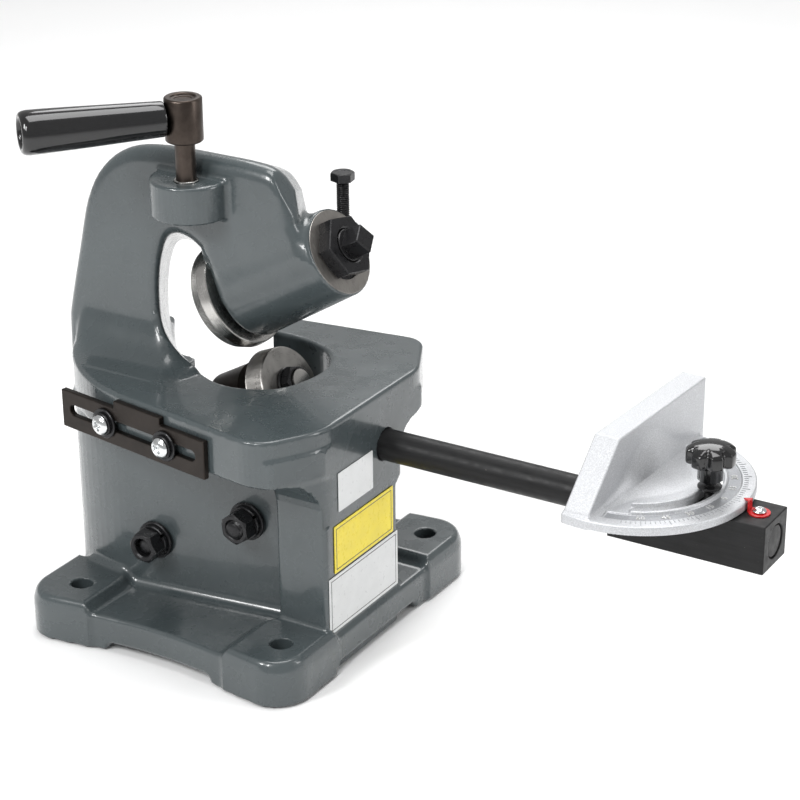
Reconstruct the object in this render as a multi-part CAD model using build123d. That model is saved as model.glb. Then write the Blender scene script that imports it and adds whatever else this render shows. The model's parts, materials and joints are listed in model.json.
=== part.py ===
from build123d import *
import math
import os

# Manual rolling shear on a cast frame, in millimetres.
# Origin: centre of the four foot holes, on the underside of the feet.
# +X points along the guide rod, +Y is the direction in which the sheet travels.

# ---------------------------------------------------------------- driving dimensions
# Working plane: blades, barrel and guide rod all lie in this XZ plane
MID_Y = 9.5
BLADE_TILT = 29.3
FIT = 0.05

# Base
HOLE_DX = 152.0
HOLE_DY = 170.0
FOOT_HOLE_R = 7.0
BASE_X0 = -104.0
BASE_X1 = 96.0
BASE_HALF_Y = 103.0
BASE_TOP = 24.0
EAR_TOP = 30.0
EAR_LENGTH = 47.0
EAR_WIDTH = 54.0
EAR_HALF_Y = 111.0
EAR_CORNER_R = 23.0
FOOT_RECESS = 5.0

# Pedestal and table
TABLE_TOP = 165.0
TABLE_BOTTOM = 135.0
FRONT_X = 93.0
FRONT_WALL = 16.0
COLUMN_X0 = 58.0
COLUMN_Y0 = -60.0
COLUMN_Y1 = 22.0
SHOULDER_Y1 = 28.0
SHOULDER_Z0 = 100.0
WALL_INNER_Y = -34.0
POCKET_X = -1.0
POCKET_R = 43.5

# C-shaped frame
FACE_Y = -20.0
FRAME_DEPTH = 50.0
SWEEP_R = 32.0

# Barrel on the upper arm, measured back from its machined ring face
RING_X = 62.1
RING_Z = 248.9
RING_R = 27.5
BARREL_LENGTH = 77.5
BARREL_END_R = 30.5
SLEEVE_R = 17.0
ECCENTRICITY = 1.5
CLAMP_SLIT = 2.0
LUG_X = 50.5
LUG_Y = 32.0

# Drive shaft, sleeve and upper blade
SHAFT_R = 10.0
BUSH_R = 12.5
BUSH_LENGTH = 20.0
HEX_FLATS = 33.5
HEX_HEIGHT = 9.3
HEX_TURN = 19.0
SQUARE = 12.7
SQUARE_TURN = 37.0
SQUARE_REACH = 22.0
UPPER_BLADE_BACK = 80.0
UPPER_BLADE_EDGE = 87.0
UPPER_BLADE_FRONT = 94.5
UPPER_BLADE_R = 35.5
UPPER_BLADE_BEVEL_R = 33.0
UPPER_BLADE_BACK_R = 34.6

# Lower blade, measured back from its face
LOWER_X = 23.6
LOWER_Z = 152.8
LOWER_BLADE_R = 25.7
LOWER_BLADE_EDGE_R = 27.3
LOWER_BLADE_WIDTH = 13.0
LOWER_AXLE_R = 8.0
LOWER_BUSH_R = 10.5
CARRIER_FACE = 24.0
CARRIER_HEAD_R = 23.0
CARRIER_HEAD_LENGTH = 26.0

# Studs that hold the lower blade carrier: x and z of each
STUDS = ((-37.2, 58.5), (28.0, 84.5))
STUD_R = 6.0
STUD_NUT_FLATS = 18.0
STUD_NUT_HEIGHT = 10.0
STUD_WASHER_R = 12.0
STUD_SPOT_Y = (-56.0, -47.5)
STUD_PROUD = (-3.0, 2.0)

# Steadying handle on the boss
BOSS_X = -23.5
BOSS_TOP = 291.5
BOSS_BOTTOM = 267.0
BOSS_R = 24.5
BOSS_Y = -22.5
SPINDLE_X = -20.5
SPINDLE_Y = -30.0
SPINDLE_R = 6.25
KNUCKLE_R = 11.5
KNUCKLE_Z0 = 316.5
KNUCKLE_Z1 = 343.5
GRIP_Z = 331.0
GRIP_HEADING = 229.8
GRIP_LENGTH = 86.0
GRIP_R0 = 10.6
GRIP_R1 = 13.2
GRIP_BOLT_R = 4.0

# Clamp bolt in the barrel lugs
CLAMP_BOLT_R = 4.0
CLAMP_HEAD_TOP = 291.0

# Edge stop bracket, on a side of the table turned by this angle
SIDE_TURN = -9.5
SIDE_OFFSET = -84.6
BRACKET_THICK = 4.0
BRACKET_S0 = -77.0
BRACKET_S1 = 47.0
BRACKET_Z0 = 132.5
BRACKET_Z1 = 157.5
TAB_S0 = -30.0
TAB_S1 = 10.0
TAB_Z1 = 162.5
SLOT_S0 = -70.0
SLOT_S1 = 39.5
SLOT_HALF = 3.5
SCREW_S = (-38.0, 14.0)
SCREW_Z = 145.5
SCREW_R = 3.0

# Guide rod and sliding block
ROD_Z = 128.8
ROD_R = 10.0
ROD_X0 = 50.0
ROD_X1 = 350.0
BLOCK_X0 = 253.0
BLOCK_X1 = 350.5
BLOCK_WIDTH = 32.0
BLOCK_HEIGHT = 30.0

# Protractor head
PIVOT_X = 264.0
HEAD_TURN = -2.6
HEAD_R = 68.5
PLATE_THICK = 5.5
FENCE_FRONT = 11.5
FENCE_THICK = 16.0
FENCE_Y0 = -66.5
FENCE_Y1 = 74.0
FENCE_TOP_Y0 = -32.0
FENCE_TOP = 185.0
SLOT_R = 45.0
PIVOT_POCKET_R = 8.5
PIVOT_POCKET_HEIGHT = 7.0
SLOT_SPAN = 62.0
ARC_SLOT_HALF = 4.2
RIB_HEIGHT = 2.5
RIB_WIDTH = 3.0
BAND_R0 = 51.0
BAND_R1 = 59.5
BAND_DEPTH = 1.0
KNOB_R = 14.5
KNOB_LOBES = 7
KNOB_Z0 = 168.0
KNOB_Z1 = 180.0
KNOB_STEM_R = 7.5
KNOB_STEM_Z0 = 157.5
POINTER_X = 340.0
POINTER_R = 6.3

# ---------------------------------------------------------------- shared helpers
TILT = math.radians(BLADE_TILT)
AXIS = Vector(math.cos(TILT), 0, math.sin(TILT))
RISE = Vector(-math.sin(TILT), 0, math.cos(TILT))
RING_CENTRE = Vector(RING_X, MID_Y, RING_Z)
LOWER_CENTRE = Vector(LOWER_X, MID_Y, LOWER_Z)
BLOCK_TOP = ROD_Z + BLOCK_HEIGHT / 2
PLATE_TOP = BLOCK_TOP + 0.3 + PLATE_THICK
UP = (0, 0, 1)


def ring_plane(back, rise=0.0):
    """Plane square to the barrel; local x is +Y, y is up the barrel, z is out of the ring face."""
    return Plane(RING_CENTRE - AXIS * back + RISE * rise, x_dir=(0, 1, 0), z_dir=AXIS)


def lower_plane(back):
    """The same plane for the lower blade, measured back from the blade's face."""
    return Plane(LOWER_CENTRE - AXIS * back, x_dir=(0, 1, 0), z_dir=AXIS)


def disc(plane, radius, length):
    """A cylinder that starts on the plane and runs along its normal."""
    return extrude(plane * Circle(radius), amount=length)


def ring(plane, outer, inner, length):
    """A washer or bush that starts on the plane."""
    return extrude(plane * (Circle(outer) - Circle(inner)), amount=length)


def hexagon(plane, flats, length, turn=0.0):
    """A hexagon prism given across its flats."""
    return extrude(plane * Rot(0, 0, turn) * RegularPolygon(flats / 2, 6, major_radius=False), amount=length)


def cone(plane, start_r, end_r, length):
    """A tapered round bar that starts on the plane."""
    return loft([plane * Circle(start_r), plane.offset(length) * Circle(end_r)])


def box(x0, x1, y0, y1, z0, z1):
    """A box given by its six sides."""
    return Pos((x0 + x1) / 2, (y0 + y1) / 2, (z0 + z1) / 2) * Box(x1 - x0, y1 - y0, z1 - z0)


def side_plane(s, z, out=0.0):
    """Plane on the table's near side; local x runs along it, y is up, z points out of it."""
    turn = math.radians(SIDE_TURN)
    run = Vector(math.cos(turn), math.sin(turn), 0)
    outward = Vector(math.sin(turn), -math.cos(turn), 0)
    return Plane(run * s - outward * SIDE_OFFSET + outward * out + Vector(0, 0, z), x_dir=run, z_dir=outward)


def wall_plane(x, y, z):
    """Plane that faces the near side (-Y); local z points out towards -Y."""
    return Plane((x, y, z), x_dir=(1, 0, 0), z_dir=(0, -1, 0))


def level(x, y, z):
    """Horizontal plane through a point."""
    return Plane((x, y, z))


def head_frame(part):
    """Turns a piece drawn square about the pivot to the head's setting."""
    return Pos(PIVOT_X, MID_Y, 0) * Rot(0, 0, HEAD_TURN) * part


def prism(points, z0, z1):
    """A vertical prism on a plan outline."""
    return extrude(level(0, 0, z0) * make_face(Polyline(*points, close=True)), amount=z1 - z0)


# ---------------------------------------------------------------- frame casting
def ear(sign_x, sign_y):
    """One raised corner of the base with its rounded outer corner."""
    edge_x = BASE_X0 if sign_x < 0 else BASE_X1
    centre_x = edge_x - sign_x * EAR_LENGTH / 2
    centre_y = sign_y * (EAR_HALF_Y - EAR_WIDTH / 2)
    plan = RectangleRounded(EAR_LENGTH, EAR_WIDTH, EAR_CORNER_R - 1)
    return extrude(level(centre_x, centre_y, 0) * plan, amount=EAR_TOP)


def base():
    """The base plate: four ears, a lower saddle between them and a hollow underside."""
    body = box(BASE_X0, BASE_X1, -BASE_HALF_Y, BASE_HALF_Y, 0, BASE_TOP)
    body = fillet(body.edges().filter_by(Axis.Z), 18)
    for sign_x in (-1, 1):
        for sign_y in (-1, 1):
            body += ear(sign_x, sign_y)
            inset = box(
                *sorted((sign_x * 40, (BASE_X0 if sign_x < 0 else BASE_X1) - sign_x * 14)),
                *sorted((sign_y * 40, sign_y * 84)),
                0,
                EAR_TOP - 4,
            )
            body += inset
    body -= box(-40, 32, -130, 130, -1, FOOT_RECESS)
    body -= box(-140, 140, -52, 38, -1, FOOT_RECESS)
    body -= box(-60, 70, -70, 70, -1, 14)
    return body


def pedestal_outline():
    """Plan of the pedestal's near wall and rounded tail."""
    return Spline(
        (COLUMN_X0 + 10, -42),
        (0, -50.5),
        (-45, -56),
        (-86, -54),
        (-112, -39),
        (-122, -20),
        (-124, MID_Y),
    )


def pedestal():
    """A wall towards the near side, closed at the tail and the front and open at the far side."""
    near = pedestal_outline()
    tail = [near @ 1, (-118, 34), (-98, 44), (-70, 40), (-62, -30), (COLUMN_X0 + 10, -30), near @ 0]
    body = extrude(make_face([near, *Polyline(*tail).edges()]), amount=TABLE_BOTTOM + 5)
    body += box(-60, COLUMN_X0 + 10, WALL_INNER_Y - 8, WALL_INNER_Y, 0, TABLE_BOTTOM + 5)
    body -= box(-61, FRONT_X - FRONT_WALL, WALL_INNER_Y, 60, -1, TABLE_BOTTOM + 6)
    return body


def front_wall():
    """The labelled front wall, with rounded shoulders that carry the table's two lobes."""
    near = Polyline((COLUMN_Y1, 0), (COLUMN_Y0, 0), (COLUMN_Y0, 105))
    near_sweep = RadiusArc((COLUMN_Y0, 105), (COLUMN_Y0 - 31, TABLE_BOTTOM + 1), 31)
    top = Polyline((COLUMN_Y0 - 31, TABLE_BOTTOM + 1), (COLUMN_Y0 - 31, TABLE_TOP - 5), (54, TABLE_TOP - 5),
                   (54, TABLE_BOTTOM + 5))
    far_sweep = RadiusArc((54, TABLE_BOTTOM + 5), (SHOULDER_Y1, 114), 26)
    far = Polyline((SHOULDER_Y1, 114), (SHOULDER_Y1, SHOULDER_Z0), (COLUMN_Y1, SHOULDER_Z0 - 4), (COLUMN_Y1, 0))
    edges = [*near.edges(), near_sweep, *top.edges(), far_sweep, *far.edges()]
    face = make_face(Curve() + edges)
    wall = extrude(Plane.YZ.offset(FRONT_X - FRONT_WALL) * face, amount=FRONT_WALL)
    thick = extrude(Plane.YZ.offset(COLUMN_X0) * face, amount=FRONT_X - COLUMN_X0)
    thick &= box(COLUMN_X0, FRONT_X, -200, WALL_INNER_Y + 2, 0, 200)
    return wall + thick


def side_point(x):
    """Point of the table's straight near side at this x."""
    turn = math.radians(SIDE_TURN)
    return (x, (SIDE_OFFSET + x * math.sin(turn)) / math.cos(turn))


def near_edge():
    """The rounded left end of the table, which runs into its straight near side."""
    turn = math.radians(SIDE_TURN)
    end = side_point(-46)
    return Spline((-128, MID_Y), (-117, -26), (-98, -51), end, tangents=[(0, -1), (math.cos(turn), math.sin(turn))])


TABLE_CORNERS = ((*side_point(70), 20), (91, -62, 40), (93, 55, 30), (66, 92, 18), (-20, 82, 6))


def table():
    """The table: a fan that opens round the lower blade, with a narrow far arm."""
    near = near_edge()
    pocket = Polyline((-20, 82), (-20, 54))
    arc_start = (-18.5, 50.3)
    arc_end = (-8.5, -33.3)
    rim = ThreePointArc(arc_start, (POCKET_X + POCKET_R, MID_Y + 1), arc_end)
    outer = Polyline(near @ 1, side_point(70), (91, -62), (93, 55), (66, 92), (-20, 82))
    to_rim = Polyline((-20, 54), arc_start)
    back = Polyline(arc_end, (-40, -32), (-62, 4), (-86, 44), (-108, 44), (-122, 34), near @ 0)
    edges = [near, *outer.edges(), *pocket.edges(), *to_rim.edges(), rim, *back.edges()]
    plan = make_face(Curve() + edges)
    slab = extrude(level(0, 0, TABLE_BOTTOM) * plan, amount=TABLE_TOP - TABLE_BOTTOM)
    for x, y, radius in TABLE_CORNERS:
        corner = slab.edges().filter_by(Axis.Z).sort_by(
            lambda edge: (edge.center().X - x) ** 2 + (edge.center().Y - y) ** 2
        )[0]
        slab = fillet(corner, radius)
    return slab


def frame_sections():
    """Near and far outlines of the C-shaped frame; the section narrows away from the near face."""
    outer = [(-131, 150), (-130.5, 172), (-128, 190), (-123.5, 208), (-119, 226), (-114, 244), (-109.5, 262),
             (-103.5, 275), (-94, 286.5), (-83, 295.5), (-71, 301.5), (-57, 304.5), (-42, 305), (-8, 305),
             (22, 304.5), (33, 301), (40.5, 293), (45, 284)]
    ring_top = RING_CENTRE + RISE * (RING_R - 1)
    ring_mid = RING_CENTRE
    end_mid = RING_CENTRE - AXIS * BARREL_LENGTH
    end_top = end_mid + RISE * 27
    fixed = [(ring_top.X, ring_top.Z), (ring_mid.X, ring_mid.Z), (end_mid.X, end_mid.Z), (end_top.X, end_top.Z),
             (-19, 245), (-26, 250), (-32, 252.5)]
    throat = [(-43, 251), (-48, 243), (-51.5, 230), (-53.5, 210), (-53, 196), (-50, 185), (-43, 175), (-31, 167),
              (-14, 160)]
    foot = [(-14, 128), (-125, 128)]
    pull_x = 225.0
    near = []
    far = []
    for x, z in outer:
        near.append((x, z))
        far.append((-50 + (x + 50) * 0.74, pull_x + (z - pull_x) * 0.74))
    for x, z in fixed:
        near.append((x, z))
        far.append((x, z))
    for x, z in throat:
        near.append((x, z))
        far.append((x - 0.61 * FRAME_DEPTH, z - 0.516 * FRAME_DEPTH))
    near += foot
    far += [(foot[0][0] - 0.61 * FRAME_DEPTH, 128), (-108, 128)]
    return near, far


def c_frame():
    """The C-shaped frame that carries the upper arm."""
    near, far = frame_sections()
    faces = []
    for outline, y in ((near, FACE_Y), (far, FACE_Y + FRAME_DEPTH)):
        points = [(x, y, z) for x, z in outline]
        faces.append(make_face(Polyline(*points, close=True)))
    return loft(faces, ruled=True)


def sweep_fillet():
    """The large hollow between the frame's near face and the table top."""
    square = Rectangle(SWEEP_R, SWEEP_R, align=(Align.MAX, Align.MIN))
    corner = square - Pos(-SWEEP_R, SWEEP_R) * Circle(SWEEP_R)
    length = 84.0
    start = Plane((-124, FACE_Y + 0.5, TABLE_TOP - 0.5), x_dir=(0, 1, 0), z_dir=(1, 0, 0))
    body = extrude(start * corner, amount=length)
    tail = near_edge()
    close_line = Polyline(tail @ 1, (0, -72), (0, MID_Y), tail @ 0)
    keep = extrude(level(0, 0, TABLE_TOP - 5) * make_face([tail, *close_line.edges()]), amount=60)
    return body & keep


def throat_tool():
    """The space of the throat in front of the frame's near face, which trims the hollow."""
    outline = [(-48, 243), (-51.5, 230), (-53.5, 210), (-53, 196), (-50, 185), (-43, 175), (-31, 167), (-14, 165),
               (20, 165), (20, 243)]
    points = [(x, FACE_Y - 50, z) for x, z in outline]
    return extrude(make_face(Polyline(*points, close=True)), amount=60, dir=(0, 1, 0))


def barrel():
    """The tapered barrel on the upper arm with two clamp lugs at the far side."""
    body = cone(ring_plane(BARREL_LENGTH), BARREL_END_R, RING_R, BARREL_LENGTH)
    lug = disc(level(LUG_X, LUG_Y, 233), 9.0, 23.0)
    lug += box(LUG_X - 16, LUG_X + 6, LUG_Y - 14, LUG_Y, 233, 256)
    lug -= ring_plane_guard()
    return body + lug


def ring_plane_guard():
    """Everything in front of the machined ring face."""
    return extrude(ring_plane(1.0) * Rectangle(140, 140), amount=60)


def boss():
    """The D-shaped boss that holds the steadying handle."""
    plan = Circle(BOSS_R) + Pos(0, BOSS_R / 2) * Rectangle(2 * BOSS_R, BOSS_R)
    return extrude(level(BOSS_X, BOSS_Y, BOSS_BOTTOM) * plan, amount=BOSS_TOP - BOSS_BOTTOM)


def rod_socket():
    """The thickening under the table that the guide rod is fixed in."""
    return disc(Plane((48, MID_Y, ROD_Z), x_dir=(0, 1, 0), z_dir=(1, 0, 0)), 16.5, 35)


def frame_casting():
    """The whole casting with its machined holes."""
    body = base() + pedestal() + front_wall() + table() + c_frame()
    body += sweep_fillet() - throat_tool()
    body += barrel() + boss() + rod_socket()
    body += box(-62, -30, WALL_INNER_Y - 8, WALL_INNER_Y, 20, TABLE_BOTTOM + 5)
    for sign_x in (-1, 1):
        for sign_y in (-1, 1):
            body -= disc(level(sign_x * HOLE_DX / 2, sign_y * HOLE_DY / 2, -1), FOOT_HOLE_R, EAR_TOP + 2)
    body -= disc(ring_plane(BARREL_LENGTH + 40), SLEEVE_R + FIT, BARREL_LENGTH + 80)
    body -= box(LUG_X - 15, LUG_X + 15, MID_Y + SLEEVE_R - 2, LUG_Y + 12, 244, 244 + CLAMP_SLIT)
    body -= disc(level(LUG_X, LUG_Y, 225), CLAMP_BOLT_R + FIT, 60)
    body -= disc(level(SPINDLE_X, SPINDLE_Y, BOSS_BOTTOM - 1), SPINDLE_R + FIT, 40)
    body -= disc(Plane((ROD_X0, MID_Y, ROD_Z), x_dir=(0, 1, 0), z_dir=(1, 0, 0)), ROD_R + FIT, 60)
    body -= disc(level(64, MID_Y, ROD_Z - 25), 3.0 + FIT, 25)
    relief = lower_plane(CARRIER_FACE + CARRIER_HEAD_LENGTH + 2)
    body -= disc(relief, CARRIER_HEAD_R + 1.5, CARRIER_HEAD_LENGTH + 6)
    for x, z in STUDS:
        body -= disc(wall_plane(x, WALL_INNER_Y + 1, z), STUD_R + FIT, 40)
    for (x, z), spot in zip(STUDS, STUD_SPOT_Y):
        seat = disc(wall_plane(x, spot + 4, z), STUD_WASHER_R + 1.5, 4)
        body += seat - disc(wall_plane(x, spot + 5, z), STUD_R + FIT, 6)
        body -= disc(wall_plane(x, spot, z), STUD_WASHER_R + 1.5, 8)
    for s in SCREW_S:
        body -= disc(side_plane(s, SCREW_Z, -18), SCREW_R + FIT, 20)
    return body


# ---------------------------------------------------------------- upper blade drive
def eccentric_sleeve():
    """Hex-headed sleeve; its bore is off centre, so turning it raises or lowers the blade."""
    body = disc(ring_plane(BARREL_LENGTH), SLEEVE_R, BARREL_LENGTH)
    body += hexagon(ring_plane(0, ECCENTRICITY), HEX_FLATS, HEX_HEIGHT, HEX_TURN)
    body -= disc(ring_plane(BARREL_LENGTH + 1, ECCENTRICITY), SHAFT_R + 1.0, BARREL_LENGTH + 20)
    body -= disc(ring_plane(BARREL_LENGTH + 1, ECCENTRICITY), BUSH_R, BUSH_LENGTH + 1)
    body -= disc(ring_plane(BUSH_LENGTH - HEX_HEIGHT, ECCENTRICITY), BUSH_R, BUSH_LENGTH + 1)
    return body


def upper_bushes():
    """Two bronze bushes pressed in the sleeve."""
    rear = ring(ring_plane(BARREL_LENGTH, ECCENTRICITY), BUSH_R, SHAFT_R + FIT, BUSH_LENGTH)
    front = ring(ring_plane(BUSH_LENGTH - HEX_HEIGHT, ECCENTRICITY), BUSH_R, SHAFT_R + FIT, BUSH_LENGTH)
    return Compound(children=[rear, front])


def drive_shaft():
    """Upper shaft with a square end for the wrench, a collar and a keyed blade seat."""
    body = disc(ring_plane(UPPER_BLADE_BACK, ECCENTRICITY), SHAFT_R, UPPER_BLADE_BACK + HEX_HEIGHT + 0.3)
    body += extrude(
        ring_plane(0, ECCENTRICITY) * Rot(0, 0, SQUARE_TURN) * RectangleRounded(SQUARE, SQUARE, 0.8),
        amount=SQUARE_REACH,
    )
    body += disc(ring_plane(UPPER_BLADE_BACK - 0.1, ECCENTRICITY), 13.5, 2.0)
    nose = UPPER_BLADE_FRONT - 3
    body += disc(ring_plane(nose, ECCENTRICITY), 9.0, nose - UPPER_BLADE_BACK + 0.5)
    body -= disc(ring_plane(UPPER_BLADE_FRONT + 1, ECCENTRICITY), 3.0, 21)
    body -= key_block()
    return body


def key_block():
    """The space of the blade key, half in the shaft and half in the blade."""
    plane = ring_plane(UPPER_BLADE_FRONT - 3, ECCENTRICITY + 8.75)
    return extrude(plane * Rectangle(4, 4.5), amount=9)


def upper_blade():
    """Driven disc blade: a tapered back, the cutting edge and a bevelled front."""
    back = cone(ring_plane(UPPER_BLADE_EDGE, ECCENTRICITY), UPPER_BLADE_R, UPPER_BLADE_BACK_R,
                UPPER_BLADE_EDGE - UPPER_BLADE_BACK)
    front = cone(ring_plane(UPPER_BLADE_FRONT, ECCENTRICITY), UPPER_BLADE_BEVEL_R, UPPER_BLADE_R,
                 UPPER_BLADE_FRONT - UPPER_BLADE_EDGE)
    body = back + front
    body -= disc(ring_plane(UPPER_BLADE_FRONT + 1, ECCENTRICITY), 9.0, 20)
    body -= disc(ring_plane(UPPER_BLADE_FRONT + 1, ECCENTRICITY), 14.0, 4.0)
    body -= key_block()
    return body


def blade_key():
    """Square key that drives the blade."""
    return key_block()


def blade_washer():
    """Retaining washer let into the blade's front."""
    return ring(ring_plane(UPPER_BLADE_FRONT, ECCENTRICITY), 13.8, 3.0, 3.0)


def blade_screw():
    """Screw that holds the upper blade on its shaft."""
    head = disc(ring_plane(UPPER_BLADE_FRONT + 5, ECCENTRICITY), 6.5, 5.0)
    shank = disc(ring_plane(UPPER_BLADE_FRONT, ECCENTRICITY), 3.0, 18.0)
    socket = hexagon(ring_plane(UPPER_BLADE_FRONT + 6, ECCENTRICITY), 5.0, 4.0)
    return head + shank - socket


def clamp_bolt():
    """Long hex bolt that closes the barrel lugs on the sleeve."""
    body = disc(level(LUG_X, LUG_Y, 236), CLAMP_BOLT_R, CLAMP_HEAD_TOP - 5.5 - 236)
    return body + hexagon(level(LUG_X, LUG_Y, CLAMP_HEAD_TOP - 5.5), 13.0, 5.5, 12)


# ---------------------------------------------------------------- lower blade
def lower_blade():
    """Idle disc blade."""
    body = cone(lower_plane(LOWER_BLADE_WIDTH), LOWER_BLADE_EDGE_R, LOWER_BLADE_R, LOWER_BLADE_WIDTH)
    return body - disc(lower_plane(LOWER_BLADE_WIDTH + 1), LOWER_BUSH_R, LOWER_BLADE_WIDTH + 2)


def lower_bush():
    """Bronze bush pressed in the lower blade."""
    return ring(lower_plane(LOWER_BLADE_WIDTH), LOWER_BUSH_R, LOWER_AXLE_R + FIT, LOWER_BLADE_WIDTH)


def lower_axle():
    """Fixed axle of the lower blade, with a shoulder against the carrier."""
    body = disc(lower_plane(CARRIER_FACE + 20), LOWER_AXLE_R, CARRIER_FACE + 20 + 10.5)
    return body + disc(lower_plane(CARRIER_FACE), 15.0, CARRIER_FACE - LOWER_BLADE_WIDTH - 0.3)


def axle_washer():
    """Washer under the axle nut."""
    return ring(lower_plane(-0.3), 12.0, LOWER_AXLE_R, 1.7)


def axle_nut():
    """Nut that keeps the lower blade on its axle."""
    plane = lower_plane(-2.0)
    return hexagon(plane, 20.0, 7.0, 10) - disc(plane, LOWER_AXLE_R, 8)


def lower_blade_carrier():
    """Carrier bolted inside the pedestal wall; its head holds the lower axle."""
    head = disc(lower_plane(CARRIER_FACE + CARRIER_HEAD_LENGTH), CARRIER_HEAD_R, CARRIER_HEAD_LENGTH)
    (left_x, left_z), (right_x, right_z) = STUDS
    slope = math.degrees(math.atan2(right_z - left_z, right_x - left_x))
    centre = wall_plane((left_x + right_x) / 2, WALL_INNER_Y + 16, (left_z + right_z) / 2)
    span = math.hypot(right_x - left_x, right_z - left_z)
    plate = extrude(centre * Rot(0, 0, slope) * RectangleRounded(span + 34, 34, 12), amount=16)
    web = box(-26, 2, WALL_INNER_Y + 6, MID_Y + 6, 72, 128)
    body = head + plate + web
    body -= disc(lower_plane(CARRIER_FACE + CARRIER_HEAD_LENGTH + 1), LOWER_AXLE_R, CARRIER_HEAD_LENGTH + 2)
    body &= box(-200, 200, WALL_INNER_Y, 200, 0, 300)
    for x, z in STUDS:
        body -= disc(wall_plane(x, WALL_INNER_Y + 17, z), STUD_R, 40)
    return body


def carrier_studs():
    """Two studs through the pedestal wall."""
    solids = []
    for (x, z), spot, proud in zip(STUDS, STUD_SPOT_Y, STUD_PROUD):
        end = spot - 2.5 - 3.0 - STUD_NUT_HEIGHT - proud
        solids.append(disc(wall_plane(x, WALL_INNER_Y + 15, z), STUD_R, WALL_INNER_Y + 15 - end))
    return Compound(children=solids)


def stud_washers():
    """Flat washers on the pedestal wall."""
    rings = []
    for (x, z), spot in zip(STUDS, STUD_SPOT_Y):
        rings.append(ring(wall_plane(x, spot, z), STUD_WASHER_R, STUD_R, 2.5))
    return Compound(children=rings)


def stud_spring_washers():
    """Spring washers under the nuts."""
    rings = []
    for (x, z), spot in zip(STUDS, STUD_SPOT_Y):
        rings.append(ring(wall_plane(x, spot - 2.5, z), 10.5, STUD_R, 3.0))
    return Compound(children=rings)


def stud_nuts():
    """Hex nuts on the carrier studs."""
    nuts = []
    for (x, z), spot, turn in zip(STUDS, STUD_SPOT_Y, (25, 5)):
        plane = wall_plane(x, spot - 5.5, z)
        blank = hexagon(plane, STUD_NUT_FLATS, STUD_NUT_HEIGHT, turn)
        nuts.append(blank - disc(plane, STUD_R, STUD_NUT_HEIGHT + 1))
    return Compound(children=nuts)


# ---------------------------------------------------------------- steadying handle
def grip_plane(distance):
    """Plane across the grip at a distance from the spindle; local z runs out along the grip."""
    heading = math.radians(GRIP_HEADING)
    out = Vector(math.cos(heading), math.sin(heading), 0)
    return Plane(Vector(SPINDLE_X, SPINDLE_Y, GRIP_Z) + out * distance, x_dir=UP, z_dir=out)


def handle_spindle():
    """Round spindle that stands in the boss."""
    return disc(level(SPINDLE_X, SPINDLE_Y, BOSS_BOTTOM - 4), SPINDLE_R, KNUCKLE_Z0 + 20 - BOSS_BOTTOM + 4)


def handle_knuckle():
    """Steel knuckle that joins spindle and grip bolt."""
    body = disc(level(SPINDLE_X, SPINDLE_Y, KNUCKLE_Z0), KNUCKLE_R, KNUCKLE_Z1 - KNUCKLE_Z0)
    body = chamfer(body.edges().filter_by(GeomType.CIRCLE), 0.8)
    body -= disc(level(SPINDLE_X, SPINDLE_Y, KNUCKLE_Z0 - 1), SPINDLE_R, 21)
    body -= disc(level(SPINDLE_X, SPINDLE_Y, KNUCKLE_Z1 - 1.2), 7.5, 3)
    return body - disc(grip_plane(SPINDLE_R + 1), GRIP_BOLT_R, 10)


def grip_bolt():
    """Shoulder bolt that the grip turns on."""
    start = SPINDLE_R + 1.2
    body = disc(grip_plane(start), GRIP_BOLT_R, KNUCKLE_R + GRIP_LENGTH - 8 - start)
    return body + disc(grip_plane(KNUCKLE_R + GRIP_LENGTH - 10), 6.0, 5)


def handle_grip():
    """Tapered plastic grip with a rounded end."""
    start = KNUCKLE_R + 0.4
    length = KNUCKLE_R + GRIP_LENGTH - start
    body = cone(grip_plane(start), GRIP_R0, GRIP_R1, length - 4)
    body += cone(grip_plane(start + length - 4), GRIP_R1, GRIP_R1 - 1.6, 4)
    body -= disc(grip_plane(start - 1), GRIP_BOLT_R + FIT, length + 2)
    return body - disc(grip_plane(KNUCKLE_R + GRIP_LENGTH - 10.4), 7.0, 12)


# ---------------------------------------------------------------- edge stop bracket
def edge_bracket():
    """Slotted plate with a raised tab, which slides along two screws."""
    blank = RectangleRounded(BRACKET_S1 - BRACKET_S0, BRACKET_Z1 - BRACKET_Z0, 0.8)
    plate = Pos((BRACKET_S0 + BRACKET_S1) / 2, 0) * blank
    mid_z = (BRACKET_Z0 + BRACKET_Z1) / 2
    tab_height = TAB_Z1 - mid_z
    plate += Pos((TAB_S0 + TAB_S1) / 2, tab_height / 2) * Rectangle(TAB_S1 - TAB_S0, tab_height)
    slot_mid = (SLOT_S0 + SLOT_S1) / 2
    plate -= Pos(slot_mid, SCREW_Z - mid_z) * SlotOverall(SLOT_S1 - SLOT_S0, 2 * SLOT_HALF)
    return extrude(side_plane(0, mid_z, 0.3) * plate, amount=BRACKET_THICK)


def bracket_washers():
    """Flat and spring washers under the bracket screws."""
    rings = []
    for s in SCREW_S:
        front = 0.3 + BRACKET_THICK + 0.3
        rings.append(ring(side_plane(s, SCREW_Z, front), 9.5, SCREW_R, 1.6))
        rings.append(ring(side_plane(s, SCREW_Z, front + 1.6), 7.0, SCREW_R, 2.0))
    return Compound(children=rings)


def bracket_screws():
    """Cross-head screws that clamp the bracket."""
    solids = []
    for s in SCREW_S:
        seat = 0.3 + BRACKET_THICK + 0.3 + 3.6
        shank = disc(side_plane(s, SCREW_Z, -16), SCREW_R, 16 + seat)
        head = cone(side_plane(s, SCREW_Z, seat), 6.3, 4.6, 4.2)
        arms = Rectangle(6.4, 1.5) + Rectangle(1.5, 6.4)
        cross = extrude(side_plane(s, SCREW_Z, seat + 1.8) * Rot(0, 0, 20) * arms,
                        amount=4)
        solids.append(shank + head - cross)
    return Compound(children=solids)


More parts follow.
